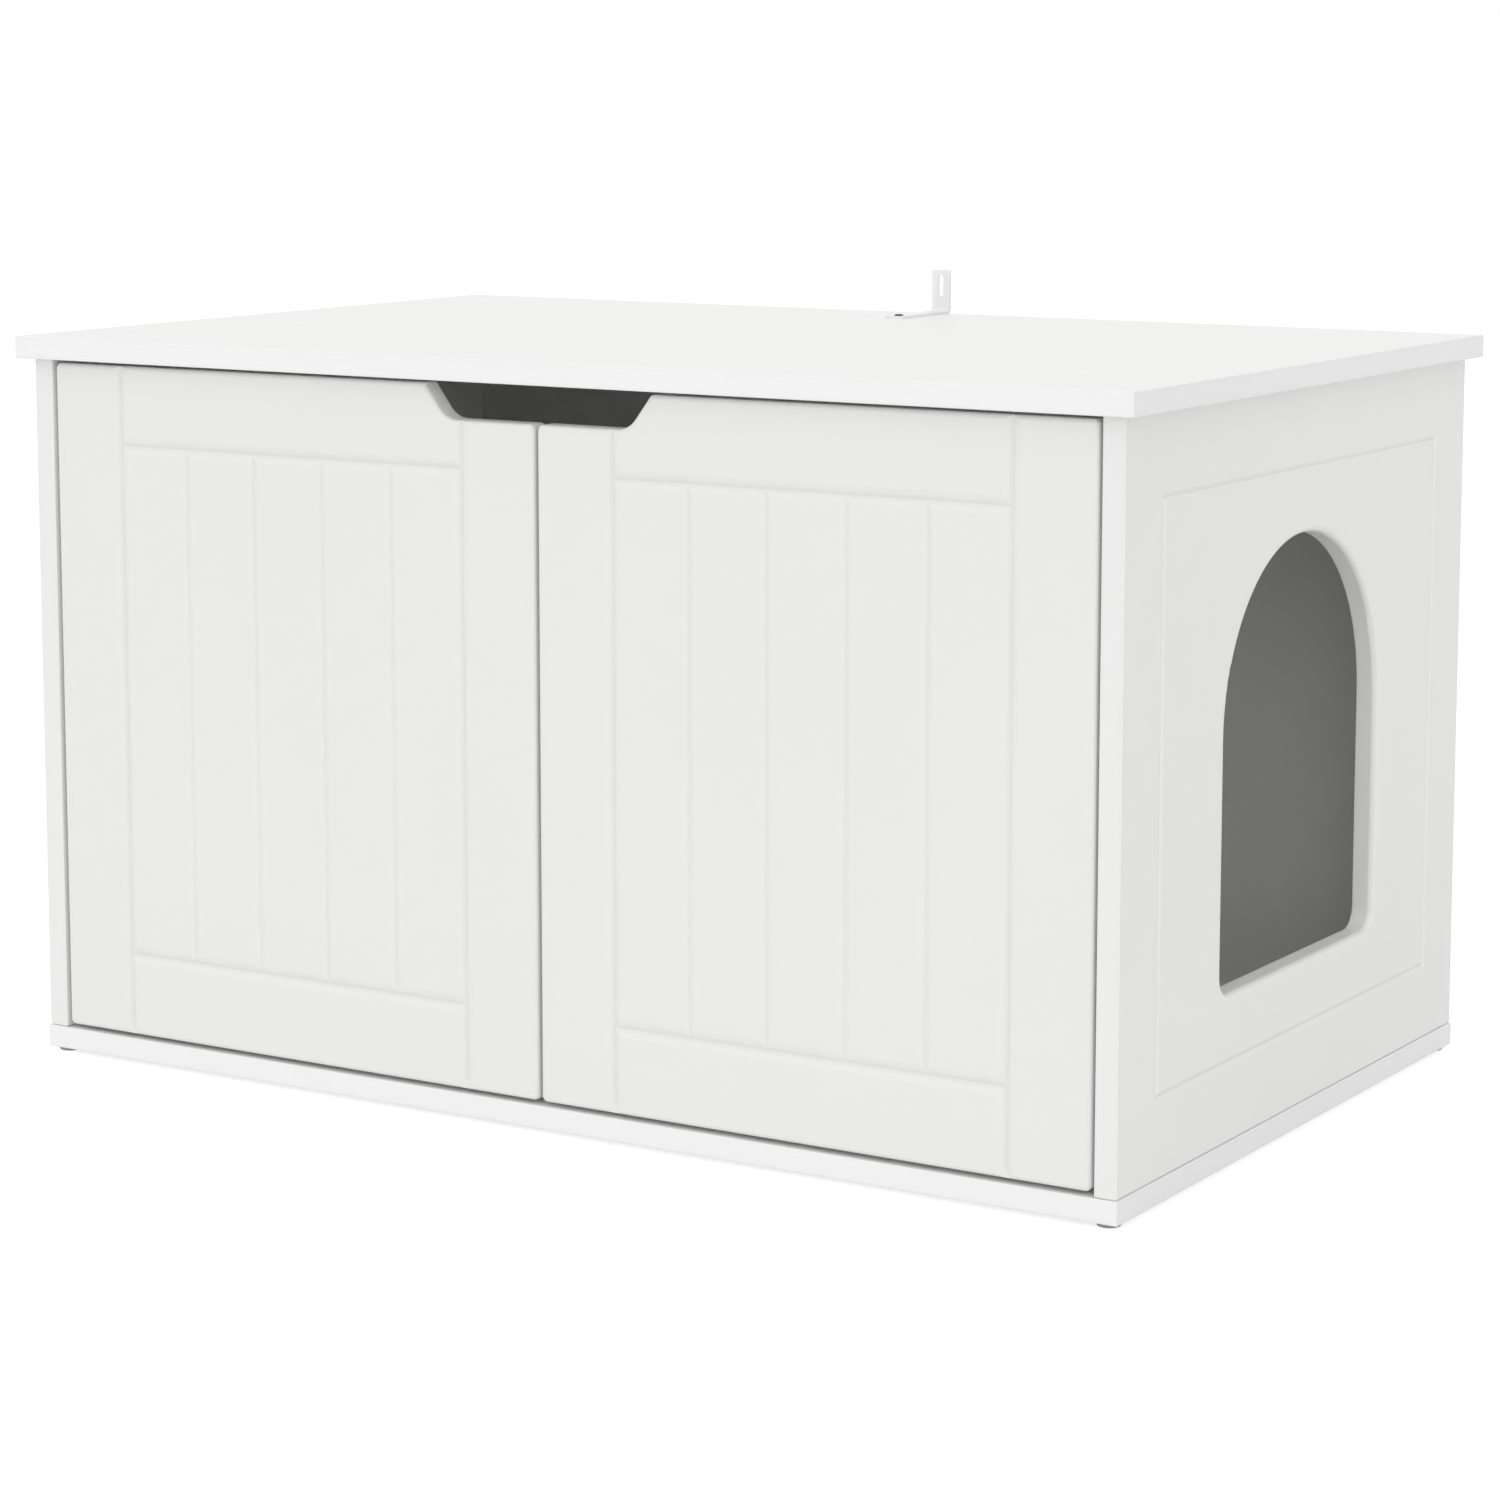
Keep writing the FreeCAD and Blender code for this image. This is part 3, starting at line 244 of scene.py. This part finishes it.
# Connector screws: zinc-plated cross-head screws, driven up through the base into the sides and
# the back, with their heads sunk flush in the underside. Head, cross recess, core and thread are
# made once and set on every place.
def metal(name, colour, roughness, scratch=0.5, grain_size=0.0022):
    """Plated or cast metal with a cloudy tone, fine scratches and an uneven gloss."""
    cloud_tone = (0.95, 1.0)
    scratch_scale = (4000.0, 4000.0, 260.0)
    scratch_drift = (roughness - 0.06 * scratch, roughness + 0.12 * scratch)
    material, tree, shader = open_material(name)
    shader.inputs["Metallic"].default_value = 1.0
    grain = add_node(tree, "ShaderNodeGroup", {"Grain size": grain_size}, node_tree=facing_grain).outputs
    tone = spread(tree, grain["Height"], noise_span, cloud_tone)
    place = add_node(tree, "ShaderNodeTexCoord").outputs["Object"]
    stretched = add_node(tree, "ShaderNodeMapping", {"Vector": place, "Scale": scratch_scale}).outputs[0]
    lines = noise(tree, stretched, scale=1.0, detail=2.0)
    dull = spread(tree, lines, noise_span, scratch_drift)
    link_finish(tree, shader, toned(tree, colour, tone), dull, lines, strength=0.2 * scratch, relief=0.00003)
    return material


def spot(tree, **parts):
    """A point from its X, Y and Z."""
    return add_node(tree, "ShaderNodeCombineXYZ", parts).outputs[0]


def moved(tree, shape, way, **more):
    """A shape set elsewhere in its own frame."""
    inputs = {"Geometry": shape, "Translation": way, **more}
    return add_node(tree, "GeometryNodeTransform", inputs).outputs[0]


def cut_away(tree, shape, cutter):
    """A solid less another solid."""
    return add_node(tree, "GeometryNodeMeshBoolean", {"Mesh 1": shape, "Mesh 2": cutter},
                    operation="DIFFERENCE", solver="MANIFOLD").outputs[0]


def welded(tree, shape):
    """A cut shape without doubled corners."""
    apart = 0.000005
    return add_node(tree, "GeometryNodeMergeByDistance", {"Geometry": shape, "Distance": apart}).outputs[0]


def way_of(tree, label):
    """The direction that each place keeps under a label."""
    return add_node(tree, "GeometryNodeInputNamedAttribute", {"Name": label},
                    data_type="FLOAT_VECTOR").outputs[0]


def faced(tree):
    """The turn that lays a shape's Z along the facing of its place."""
    return add_node(tree, "FunctionNodeAlignRotationToVector", {"Vector": way_of(tree, "facing")},
                    axis="Z").outputs[0]


def set_on_places(tree, given, shape, turn):
    """The shape on every place, as real mesh with its finish."""
    placed = add_node(tree, "GeometryNodeInstanceOnPoints", {
        "Points": given["Places"], "Instance": shape, "Rotation": turn}).outputs[0]
    real = add_node(tree, "GeometryNodeRealizeInstances", {"Geometry": placed}).outputs[0]
    done = add_node(tree, "GeometryNodeSetMaterial", {"Geometry": real, "Material": given["Finish"]})
    return done.outputs[0]


def screw_tree():
    """Geometry nodes that set a cross-head screw on each point, its head along the point's facing."""
    tree, given, end = open_group("cross_head_screw", "GeometryNodeTree", (
        ("INPUT", "Places", "Geometry"), ("INPUT", "Head radius", "Float"),
        ("INPUT", "Head height", "Float"), ("INPUT", "Crown", "Float"),
        ("INPUT", "Core radius", "Float"), ("INPUT", "Shank length", "Float"),
        ("INPUT", "Thread turns", "Float"), ("INPUT", "Recess span", "Float"),
        ("INPUT", "Finish", "Material"), ("OUTPUT", "Screws", "Geometry")))
    crown_power = 3.0
    wing_share = 0.24
    recess_share = 1.5
    thread_share = 0.9
    thread_start = -0.95
    ridge_share = 0.2
    spin_seed = 7

    def times(value, factor):
        return number(tree, "MULTIPLY", value, factor)

    head = add_node(tree, "GeometryNodeMeshCone", {
        "Vertices": 32, "Side Segments": 6, "Radius Top": times(given["Head radius"], given["Crown"]),
        "Radius Bottom": given["Head radius"], "Depth": given["Head height"]}).outputs[0]
    place = add_node(tree, "GeometryNodeInputPosition").outputs[0]
    rise = add_node(tree, "ShaderNodeSeparateXYZ", {0: place}).outputs["Z"]
    rise = number(tree, "DIVIDE", rise, given["Head height"])
    drawn_in = number(tree, "SUBTRACT", given["Crown"], 1.0)
    straight = number(tree, "MULTIPLY_ADD", rise, drawn_in, 1.0)
    rounded = number(tree, "MULTIPLY_ADD", number(tree, "POWER", rise, crown_power), drawn_in, 1.0)
    wider = number(tree, "DIVIDE", rounded, straight)
    domed = vector(tree, "MULTIPLY", place, spot(tree, X=wider, Y=wider, Z=1.0))
    head = add_node(tree, "GeometryNodeSetPosition", {"Geometry": head, "Position": domed}).outputs[0]
    span = given["Recess span"]
    wing = times(span, wing_share)
    cross = add_node(tree, "GeometryNodeMeshBoolean", operation="UNION", solver="MANIFOLD")
    for x_size, y_size in ((span, wing), (wing, span)):
        size = spot(tree, X=x_size, Y=y_size, Z=times(given["Head height"], recess_share))
        bar = add_node(tree, "GeometryNodeMeshCube", {"Size": size}).outputs[0]
        tree.links.new(moved(tree, bar, spot(tree, Z=given["Head height"])), cross.inputs["Mesh 2"])
    head = welded(tree, cut_away(tree, head, cross.outputs[0]))
    core = add_node(tree, "GeometryNodeMeshCylinder", {
        "Vertices": 16, "Radius": given["Core radius"], "Depth": given["Shank length"]}).outputs[0]
    core = moved(tree, core, spot(tree, Z=times(given["Shank length"], -0.5)))
    spiral = add_node(tree, "GeometryNodeCurveSpiral", {
        "Resolution": 12, "Rotations": given["Thread turns"], "Start Radius": given["Core radius"],
        "End Radius": given["Core radius"], "Height": times(given["Shank length"], thread_share)}).outputs[0]
    ridge = add_node(tree, "GeometryNodeCurvePrimitiveCircle", {
        "Resolution": 3, "Radius": times(given["Core radius"], ridge_share)}).outputs[0]
    thread = add_node(tree, "GeometryNodeCurveToMesh", {
        "Curve": spiral, "Profile Curve": ridge, "Fill Caps": True}).outputs[0]
    thread = moved(tree, thread, spot(tree, Z=times(given["Shank length"], thread_start)))
    screw = add_node(tree, "GeometryNodeJoinGeometry")
    for piece in (head, core, thread):
        tree.links.new(piece, screw.inputs[0])
    angle = add_node(tree, "FunctionNodeRandomValue", {"Min": 0.0, "Max": math.pi, "Seed": spin_seed},
                     data_type="FLOAT").outputs[1]
    spin = add_node(tree, "FunctionNodeAxisAngleToRotation", {
        "Axis": (0.0, 0.0, 1.0), "Angle": angle}).outputs[0]
    turn = add_node(tree, "FunctionNodeRotateRotation", {"Rotation": faced(tree), "Rotate By": spin},
                    rotation_space="LOCAL").outputs[0]
    close_group(tree, end, Screws=set_on_places(tree, given, screw.outputs[0], turn))
    return tree


def repeated(name, tree, places, body, stands_for, slot, **values):
    """Makes one plain mesh of what the tree sets on places: (point, facing) or (point, facing, side)."""
    mesh = bpy.data.meshes.new(name)
    mesh.from_pydata([place[0] for place in places], [], [])
    for label, index in (("facing", 1), ("side", 2)):
        if len(places[0]) > index:
            mesh.attributes.new(label, "FLOAT_VECTOR", "POINT")
            ways = [part for place in places for part in place[index]]
            mesh.attributes[label].data.foreach_set("vector", ways)
    made = bpy.data.objects.new(name, mesh)
    bpy.context.scene.collection.objects.link(made)
    modifier = made.modifiers.new("pattern", "NODES")
    modifier.node_group = tree
    sockets = [item for item in tree.interface.items_tree if item.in_out == "INPUT"]
    identifiers = {socket.name: socket.identifier for socket in sockets}
    for label, value in values.items():
        modifier[identifiers[label.replace("_", " ")]] = value
    evaluated = made.evaluated_get(bpy.context.evaluated_depsgraph_get())
    solid = bpy.data.meshes.new_from_object(evaluated)
    made.modifiers.clear()
    made.data = solid
    solid.name = name
    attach(made, body)
    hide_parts(*stands_for)


hands = {"left": -1, "right": 1}
up = (0, 0, 1)
down = (0, 0, -1)
backwards = (0, 1, 0)
side_middle = 0.432
back_middle = 0.267
front_joint = -0.180
rear_joint = 0.164
back_joint = 0.329
head_seat = 0.006
cross_head_screw = screw_tree()
zinc = metal("zinc_plating", (0.62, 0.62, 0.63), 0.34)
connector_places = [(hand * side_middle, y) for hand in hands.values()
                    for y in (front_joint, 0.0, rear_joint)]
connector_places += [(x, back_middle) for x in (-back_joint, 0.0, back_joint)]
repeated("connector_screws", cross_head_screw, [((x, y, head_seat), down) for x, y in connector_places],
         "cabinet", ["base_screws"], "bright_steel", Head_radius=0.005, Head_height=0.003, Crown=0.97,
         Core_radius=0.0026, Shank_length=0.037, Thread_turns=14.0, Recess_span=0.0056, Finish=zinc)

# Sides: white-faced boards standing on the base, the right one with the arched cat entry routed
# through it. A V line is routed round both outer faces, and their edge bands are a greyer white.
side_band = (0.845, 0.845, 0.840)
for name in hands:
    # Like every facing, it darkens the bottom of the routed V line with painted shade.
    side_facing = facing(f"{name}_side_facing", *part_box(f"{name}_side_panel"), band=side_band)
    dress(f"{name}_side_panel", side_facing)

# Back: a white-faced board of the same make, standing on the base between the two sides. It is
# screwed from below, and the cams of its joints are let into its rear face.
dress("back_panel", facing("back_facing", *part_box("back_panel")))


# Cam locks: die-cast zinc drums let into the boards, with a cross recess for the screwdriver, a
# notch on the rim that shows where the bolt is, a fine line on the far side, and a slot in the
# drum's wall for the bolt's head.
def cam_tree():
    """Geometry nodes that set a cam lock on each point, its slot towards the point's side."""
    tree, given, end = open_group("cam_lock", "GeometryNodeTree", (
        ("INPUT", "Places", "Geometry"), ("INPUT", "Drum radius", "Float"),
        ("INPUT", "Drum depth", "Float"), ("INPUT", "Slot radius", "Float"),
        ("INPUT", "Finish", "Material"), ("OUTPUT", "Cams", "Geometry")))
    middle = (0.0, 0.0, 0.0)
    cuts = {"recess": ((0.0088, 0.0020, 0.0070), middle),
            "crossing_recess": ((0.0020, 0.0088, 0.0070), middle),
            "rim_notch": ((0.0022, 0.0012, 0.0016), (0.0058, 0.0, 0.0)),
            "far_line": ((0.0004, 0.0092, 0.0008), (-0.0054, 0.0, 0.0))}
    slot_reach = 0.6
    slot_level = -0.64
    radius = given["Drum radius"]
    depth = given["Drum depth"]
    drum = add_node(tree, "GeometryNodeMeshCylinder", {
        "Vertices": 48, "Radius": radius, "Depth": depth}).outputs[0]
    drum = moved(tree, drum, spot(tree, Z=number(tree, "MULTIPLY", depth, -0.5)))
    for size, at in cuts.values():
        bar = add_node(tree, "GeometryNodeMeshCube", {"Size": size}).outputs[0]
        drum = cut_away(tree, drum, moved(tree, bar, at))
    slot = add_node(tree, "GeometryNodeMeshCylinder", {
        "Vertices": 24, "Radius": given["Slot radius"], "Depth": radius}).outputs[0]
    slot_middle = spot(tree, X=number(tree, "MULTIPLY", radius, slot_reach),
                       Z=number(tree, "MULTIPLY", depth, slot_level))
    slot = moved(tree, slot, slot_middle, Rotation=(0.0, math.pi / 2, 0.0))
    drum = welded(tree, cut_away(tree, drum, slot))
    turn = add_node(tree, "FunctionNodeAlignRotationToVector", {
        "Rotation": faced(tree), "Vector": way_of(tree, "side")}, axis="X", pivot_axis="Z").outputs[0]
    close_group(tree, end, Cams=set_on_places(tree, given, drum, turn))
    return tree


side_face = 0.424
back_face = 0.275
cam_level = 0.480
rear_cam = 0.390
rear_joint_heights = (0.419, 0.114)
cast_zinc = metal("cast_zinc", (0.52, 0.52, 0.53), 0.46, scratch=0.8, grain_size=0.0012)
cam_places = [((hand * side_face, y, cam_level), (-hand, 0, 0), up) for hand in hands.values()
              for y in (front_joint, rear_joint)]
cam_places += [((x, back_face, cam_level), backwards, up) for x in (-back_joint, back_joint)]
cam_places += [((hand * rear_cam, back_face, z), backwards, (hand, 0, 0)) for hand in hands.values()
               for z in rear_joint_heights]
repeated("cam_locks", cam_tree(), cam_places, "cabinet", ["left_side_cams", "right_side_cams", "back_cams"],
         "bright_steel", Drum_radius=0.0075, Drum_depth=0.0125, Slot_radius=0.0035, Finish=cast_zinc)

# Cam bolts: steel pins with a threaded end, standing in the top and in the sides and reaching
# into the cams. They are the screws of the same tree, with a slim head for the cam's grip.
bolt_head_level = 0.482
rear_bolt_head = 0.392
bolt_places = [((hand * side_middle, y, bolt_head_level), down) for hand in hands.values()
               for y in (front_joint, rear_joint)]
bolt_places += [((x, back_middle, bolt_head_level), down) for x in (-back_joint, back_joint)]
bolt_places += [((hand * rear_bolt_head, back_middle, z), (-hand, 0, 0)) for hand in hands.values()
                for z in rear_joint_heights]
repeated("cam_bolts", cross_head_screw, bolt_places, "cabinet",
         ["top_cam_bolts", "left_back_cam_bolts", "right_back_cam_bolts"], "bright_steel", Head_radius=0.003,
         Head_height=0.002, Crown=0.8, Core_radius=0.002, Shank_length=0.042, Thread_turns=16.0,
         Recess_span=0.002, Finish=zinc)


# Dowels: fluted beech pins with narrowed ends, glued half in one board and half in the other.
# The wood is bare, pale and finely flecked.
def dowel_tree():
    """Geometry nodes that lay a fluted dowel along the facing of each point."""
    tree, given, end = open_group("fluted_dowel", "GeometryNodeTree", (
        ("INPUT", "Places", "Geometry"), ("INPUT", "Pin radius", "Float"),
        ("INPUT", "Pin length", "Float"), ("INPUT", "Flutes", "Float"),
        ("INPUT", "Flute depth", "Float"), ("INPUT", "Finish", "Material"),
        ("OUTPUT", "Dowels", "Geometry")))
    end_share = 0.499
    end_narrowing = -0.15
    pin = add_node(tree, "GeometryNodeMeshCylinder", {
        "Vertices": 72, "Side Segments": 8, "Radius": given["Pin radius"],
        "Depth": given["Pin length"]}).outputs[0]
    place = add_node(tree, "GeometryNodeInputPosition").outputs[0]
    x, y, z = add_node(tree, "ShaderNodeSeparateXYZ", {0: place}).outputs
    wave = number(tree, "MULTIPLY", number(tree, "ARCTAN2", y, x), given["Flutes"])
    wave = number(tree, "SUBTRACT", number(tree, "COSINE", wave), 1.0)
    width = number(tree, "MULTIPLY_ADD", wave, given["Flute depth"], 1.0)
    end_reach = number(tree, "MULTIPLY", given["Pin length"], end_share)
    at_end = number(tree, "GREATER_THAN", number(tree, "ABSOLUTE", z), end_reach)
    width = number(tree, "MULTIPLY_ADD", at_end, end_narrowing, width)
    fluted = vector(tree, "MULTIPLY", place, spot(tree, X=width, Y=width, Z=1.0))
    pin = add_node(tree, "GeometryNodeSetPosition", {"Geometry": pin, "Position": fluted}).outputs[0]
    close_group(tree, end, Dowels=set_on_places(tree, given, pin, faced(tree)))
    return tree


def beech_wood():
    """Pale pinkish beech with short dark flecks."""
    fleck = (0.35, (0.43, 0.25, 0.12, 1.0))
    ground = (0.6, (0.62, 0.42, 0.24, 1.0))
    material, tree, shader = open_material("beech_wood")
    place = add_node(tree, "ShaderNodeTexCoord").outputs["Object"]
    fibre = noise(tree, place, scale=900.0, detail=4.0)
    ramp = add_node(tree, "ShaderNodeValToRGB", {0: fibre})
    for stop, (position, colour) in zip(ramp.color_ramp.elements, (fleck, ground)):
        stop.position = position
        stop.color = colour
    dull = spread(tree, fibre, (0.0, 1.0), (0.55, 0.75))
    link_finish(tree, shader, ramp.outputs[0], dull, fibre, strength=0.4, relief=0.0001)
    return material


top_joint = 0.514
front_dowel = -0.116
rear_dowel = 0.100
back_dowel = 0.265
rear_dowel_heights = (0.355, 0.178)
dowel_places = [((hand * side_middle, y, top_joint), up) for hand in hands.values()
                for y in (front_dowel, rear_dowel)]
dowel_places += [((x, back_middle, top_joint), up) for x in (-back_dowel, back_dowel)]
dowel_places += [((hand * side_face, back_middle, z), (1, 0, 0)) for hand in hands.values()
                 for z in rear_dowel_heights]
repeated("dowels", dowel_tree(), dowel_places, "cabinet",
         ["top_dowels", "left_back_dowels", "right_back_dowels"], "beech", Pin_radius=0.004,
         Pin_length=0.022, Flutes=18.0, Flute_depth=0.04, Finish=beech_wood())

# Top: a white-faced board that overhangs the carcass all round, held by the cam bolts and dowels
# of the sides and the back. Its facing is a little glossier than that of the other boards.
dress("top_panel", facing("top_facing", *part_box("top_panel"), roughness=0.38))

# Doors: boards with a routed frame and five planks each, wrapped in one smooth satin foil that
# follows the grooves. The foil is finer than the melamine, and painted shade darkens it a
# little deep in the grooves.
foil_white = (0.822, 0.822, 0.806)
for name in hands:
    foil = facing(f"{name}_door_foil", *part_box(f"{name}_door"), white=foil_white, band=foil_white,
                  grain_size=0.0008, relief=0.00003, roughness=0.40, seam=0.0)
    dress(f"{name}_door", foil)

# Hinges: concealed hinges of pressed, nickel-plated steel. Cup and pin ride on the door, and the
# bent arm sits on a winged mounting plate that is screwed to the side.
nickel = metal("nickel_plating", (0.70, 0.69, 0.66), 0.24, scratch=0.6)


def soften(node, width):
    """Takes the sharpness off a solid's edges."""
    weld = nodes[node].modifiers.new("weld", "WELD")
    weld.merge_threshold = 0.00001
    bevel = nodes[node].modifiers.new("edge", "BEVEL")
    bevel.width = width
    bevel.segments = 2
    bevel.limit_method = "ANGLE"
    bevel.angle_limit = math.radians(40)


for name in hands:
    for level in ("upper", "lower"):
        for piece in ("cup", "pin", "arm", "plate"):
            dress(f"{name}_{level}_hinge_{piece}", nickel)
        soften(f"{name}_{level}_hinge_arm", 0.0004)
        soften(f"{name}_{level}_hinge_plate", 0.0004)

# Hinge screws: nickel-plated steel screws with domed heads and cross recesses. They hold the cups
# to the doors, the plates to the sides and the arms to their plates.
hinge_heights = (0.117, 0.416)
ear_middle = 0.3925
ear_face = -0.258
ear_steps = (-0.024, 0.024)
wing_face = 0.4215
wing_setback = -0.222
wing_steps = (-0.016, 0.016)
arm_face = 0.415
arm_screw_setback = -0.211
pan_head = {"Head_radius": 0.0035, "Head_height": 0.002, "Crown": 0.72, "Core_radius": 0.0014,
            "Shank_length": 0.012, "Thread_turns": 7.0, "Recess_span": 0.0036, "Finish": nickel}
arm_head = {**pan_head, "Shank_length": 0.009, "Core_radius": 0.0016}
for name, hand in hands.items():
    inwards = (-hand, 0, 0)
    cup_screws = [((hand * ear_middle, ear_face, z + step), backwards) for z in hinge_heights
                  for step in ear_steps]
    repeated(f"{name}_hinge_cup_screws", cross_head_screw, cup_screws, f"{name}_door",
             [f"{name}_cup_screws"], "bright_steel", **pan_head)
    plate_screws = [((hand * wing_face, wing_setback, z + step), inwards) for z in hinge_heights
                    for step in wing_steps]
    repeated(f"{name}_hinge_plate_screws", cross_head_screw, plate_screws, "cabinet",
             [f"{name}_plate_screws"], "bright_steel", **pan_head)
    arm_screws = [((hand * arm_face, arm_screw_setback, z), inwards) for z in hinge_heights]
    repeated(f"{name}_hinge_arm_screws", cross_head_screw, arm_screws, "cabinet",
             [f"{name}_arm_screws"], "bright_steel", **arm_head)

# Catches: white moulded blocks under the top with a ferrite magnet in the face, and on each door
# a flat steel strike plate that the magnet holds. Each is fixed with small cross-head screws.
catch_middle = 0.150
catch_setback = -0.250
catch_head_level = 0.501
catch_steps = (-0.016, 0.016)
strike_face = -0.258
strike_level = 0.501
catch_plastic = matt("catch_plastic", (0.80, 0.80, 0.79), 0.42)
ferrite = matt("ferrite", (0.035, 0.035, 0.037), 0.48, grain_size=0.0005)
catch_head = {**pan_head, "Shank_length": 0.024, "Thread_turns": 12.0}
strike_head = {**pan_head, "Head_radius": 0.0029, "Head_height": 0.0003, "Crown": 0.9,
               "Recess_span": 0.003}
for name, hand in hands.items():
    dress(f"{name}_catch_body", catch_plastic)
    soften(f"{name}_catch_body", 0.0005)
    dress(f"{name}_catch_magnet", ferrite)
    dress(f"{name}_strike_plate", nickel)
    soften(f"{name}_strike_plate", 0.0003)
    catch_screws = [((hand * catch_middle + step, catch_setback, catch_head_level), down)
                    for step in catch_steps]
    repeated(f"{name}_catch_block_screws", cross_head_screw, catch_screws, "cabinet",
             [f"{name}_catch_screws"], "bright_steel", **catch_head)
    strike_screw = [((hand * catch_middle, strike_face, strike_level), backwards)]
    repeated(f"{name}_strike_plate_screw", cross_head_screw, strike_screw, f"{name}_door",
             [f"{name}_strike_screw"], "bright_steel", **strike_head)

# Wall bracket: a slotted angle of powder-coated steel on the back edge of the top, held by one
# dark screw. Its slot takes a wall screw that keeps the cabinet from tipping.
bracket_screw_place = (0.0, 0.217, 0.532)
powder_coat = matt("powder_coat", (0.87, 0.87, 0.88), 0.36, grain_size=0.0009)
dress("wall_bracket", powder_coat)
soften("wall_bracket", 0.0003)
black_oxide = matt("black_oxide", (0.012, 0.012, 0.012), 0.75, grain_size=0.0005)
black_oxide.node_tree.nodes["Principled BSDF"].inputs["Specular IOR Level"].default_value = 0.08
bracket_head = {**pan_head, "Head_height": 0.0009, "Shank_length": 0.0125, "Finish": black_oxide}
repeated("bracket_fixing_screw", cross_head_screw, [(bracket_screw_place, up)], "cabinet",
         ["bracket_screw"], "black_steel", **bracket_head)


# Floor: a plain pale sheet of paper under the cabinet. It fades into the white surround and keeps
# the cabinet's soft shadow.
def in_view(tree):
    """Whether a ray is looked along: straight, in a reflection or through glass."""
    ray = add_node(tree, "ShaderNodeLightPath").outputs
    mirrored = number(tree, "MAXIMUM", ray["Is Glossy Ray"], ray["Is Transmission Ray"])
    return number(tree, "MAXIMUM", ray["Is Camera Ray"], mirrored)


reach = 30
pale_grey = (0.86, 0.86, 0.86, 1.0)
faint_grey = (0.30, 0.30, 0.30, 1.0)
glow_strength = 0.80
floor_mesh = bpy.data.meshes.new("floor")
floor_corners = [(-reach, -reach, 0), (reach, -reach, 0), (reach, reach, 0), (-reach, reach, 0)]
floor_mesh.from_pydata(floor_corners, [], [(0, 1, 2, 3)])
floor = bpy.data.objects.new("floor", floor_mesh)
bpy.context.scene.collection.objects.link(floor)
paper = bpy.data.materials.new("floor_paper")
paper.use_nodes = True
paper_tree = paper.node_tree
paper_tree.nodes.clear()
pale = add_node(paper_tree, "ShaderNodeBsdfDiffuse", {"Color": pale_grey}).outputs[0]
faint = add_node(paper_tree, "ShaderNodeBsdfDiffuse", {"Color": faint_grey}).outputs[0]
glow = add_node(paper_tree, "ShaderNodeEmission", {"Strength": glow_strength}).outputs[0]
glowing = add_node(paper_tree, "ShaderNodeAddShader", {0: faint, 1: glow}).outputs[0]
looked_at = in_view(paper_tree)
paper_mix = add_node(paper_tree, "ShaderNodeMixShader", {0: looked_at, 1: pale, 2: glowing}).outputs[0]
add_node(paper_tree, "ShaderNodeOutputMaterial", {"Surface": paper_mix})
floor_mesh.materials.append(paper)

# Surround and light: a white room, brightest overhead and bright on the left of the front, with one
# wide soft lamp on the right of the front. The lamp leaves no mirror image on the satin boards, where
# it would wash out the top for an eye behind the cabinet.
even_light = 0.39
overhead = (Vector((0.0, 0.0, 1.0)), 1.22)
right_of_front = (Vector((1.0, -1.0, 0.25)), 0.25)
left_of_front = (Vector((-1.0, -1.0, 0.25)), 0.75)
narrowing = 4.0
world = bpy.data.worlds.new("studio")
bpy.context.scene.world = world
world.use_nodes = True
room = world.node_tree
room.nodes.clear()
way = add_node(room, "ShaderNodeTexCoord").outputs["Generated"]
lit = even_light
for aim, gain in (overhead, right_of_front, left_of_front):
    towards = number(room, "MAXIMUM", dot(room, way, aim.normalized()), 0.0)
    lit = number(room, "MULTIPLY_ADD", number(room, "POWER", towards, narrowing), gain, lit)
strength = add_node(room, "ShaderNodeMix", {0: in_view(room), 2: lit, 3: 1.0}, data_type="FLOAT").outputs[0]
white = (1.0, 1.0, 1.0, 1.0)
sky = add_node(room, "ShaderNodeBackground", {"Color": white, "Strength": strength}).outputs[0]
add_node(room, "ShaderNodeOutputWorld", {"Surface": sky})

lamp_travel = Vector((-0.56, 0.74, -0.36))
lamp_width = 60.0
lamp_data = bpy.data.lights.new("key", "SUN")
lamp_data.energy = 0.75
lamp_data.angle = math.radians(lamp_width)
lamp = bpy.data.objects.new("key", lamp_data)
lamp.rotation_euler = lamp_travel.to_track_quat("-Z", "Y").to_euler()
lamp.visible_glossy = False
bpy.context.scene.collection.objects.link(lamp)

# Camera: seen from the right of the front and from a little above the top, with a small lens
# shift that stands the upright edges nearer to upright.
looks_down = 7.8655
turned_left = 31.7421
camera_data = bpy.data.cameras.new("camera")
camera_data.lens = 96.739
camera_data.sensor_width = 36.0
camera_data.shift_y = -0.1
camera = bpy.data.objects.new("camera", camera_data)
camera.location = (1.5361, -2.4841, 0.7398)
camera.rotation_euler = (math.radians(90.0 - looks_down), 0.0, math.radians(turned_left))
bpy.context.scene.collection.objects.link(camera)
bpy.context.scene.camera = camera
bpy.context.scene.view_settings.view_transform = "Standard"
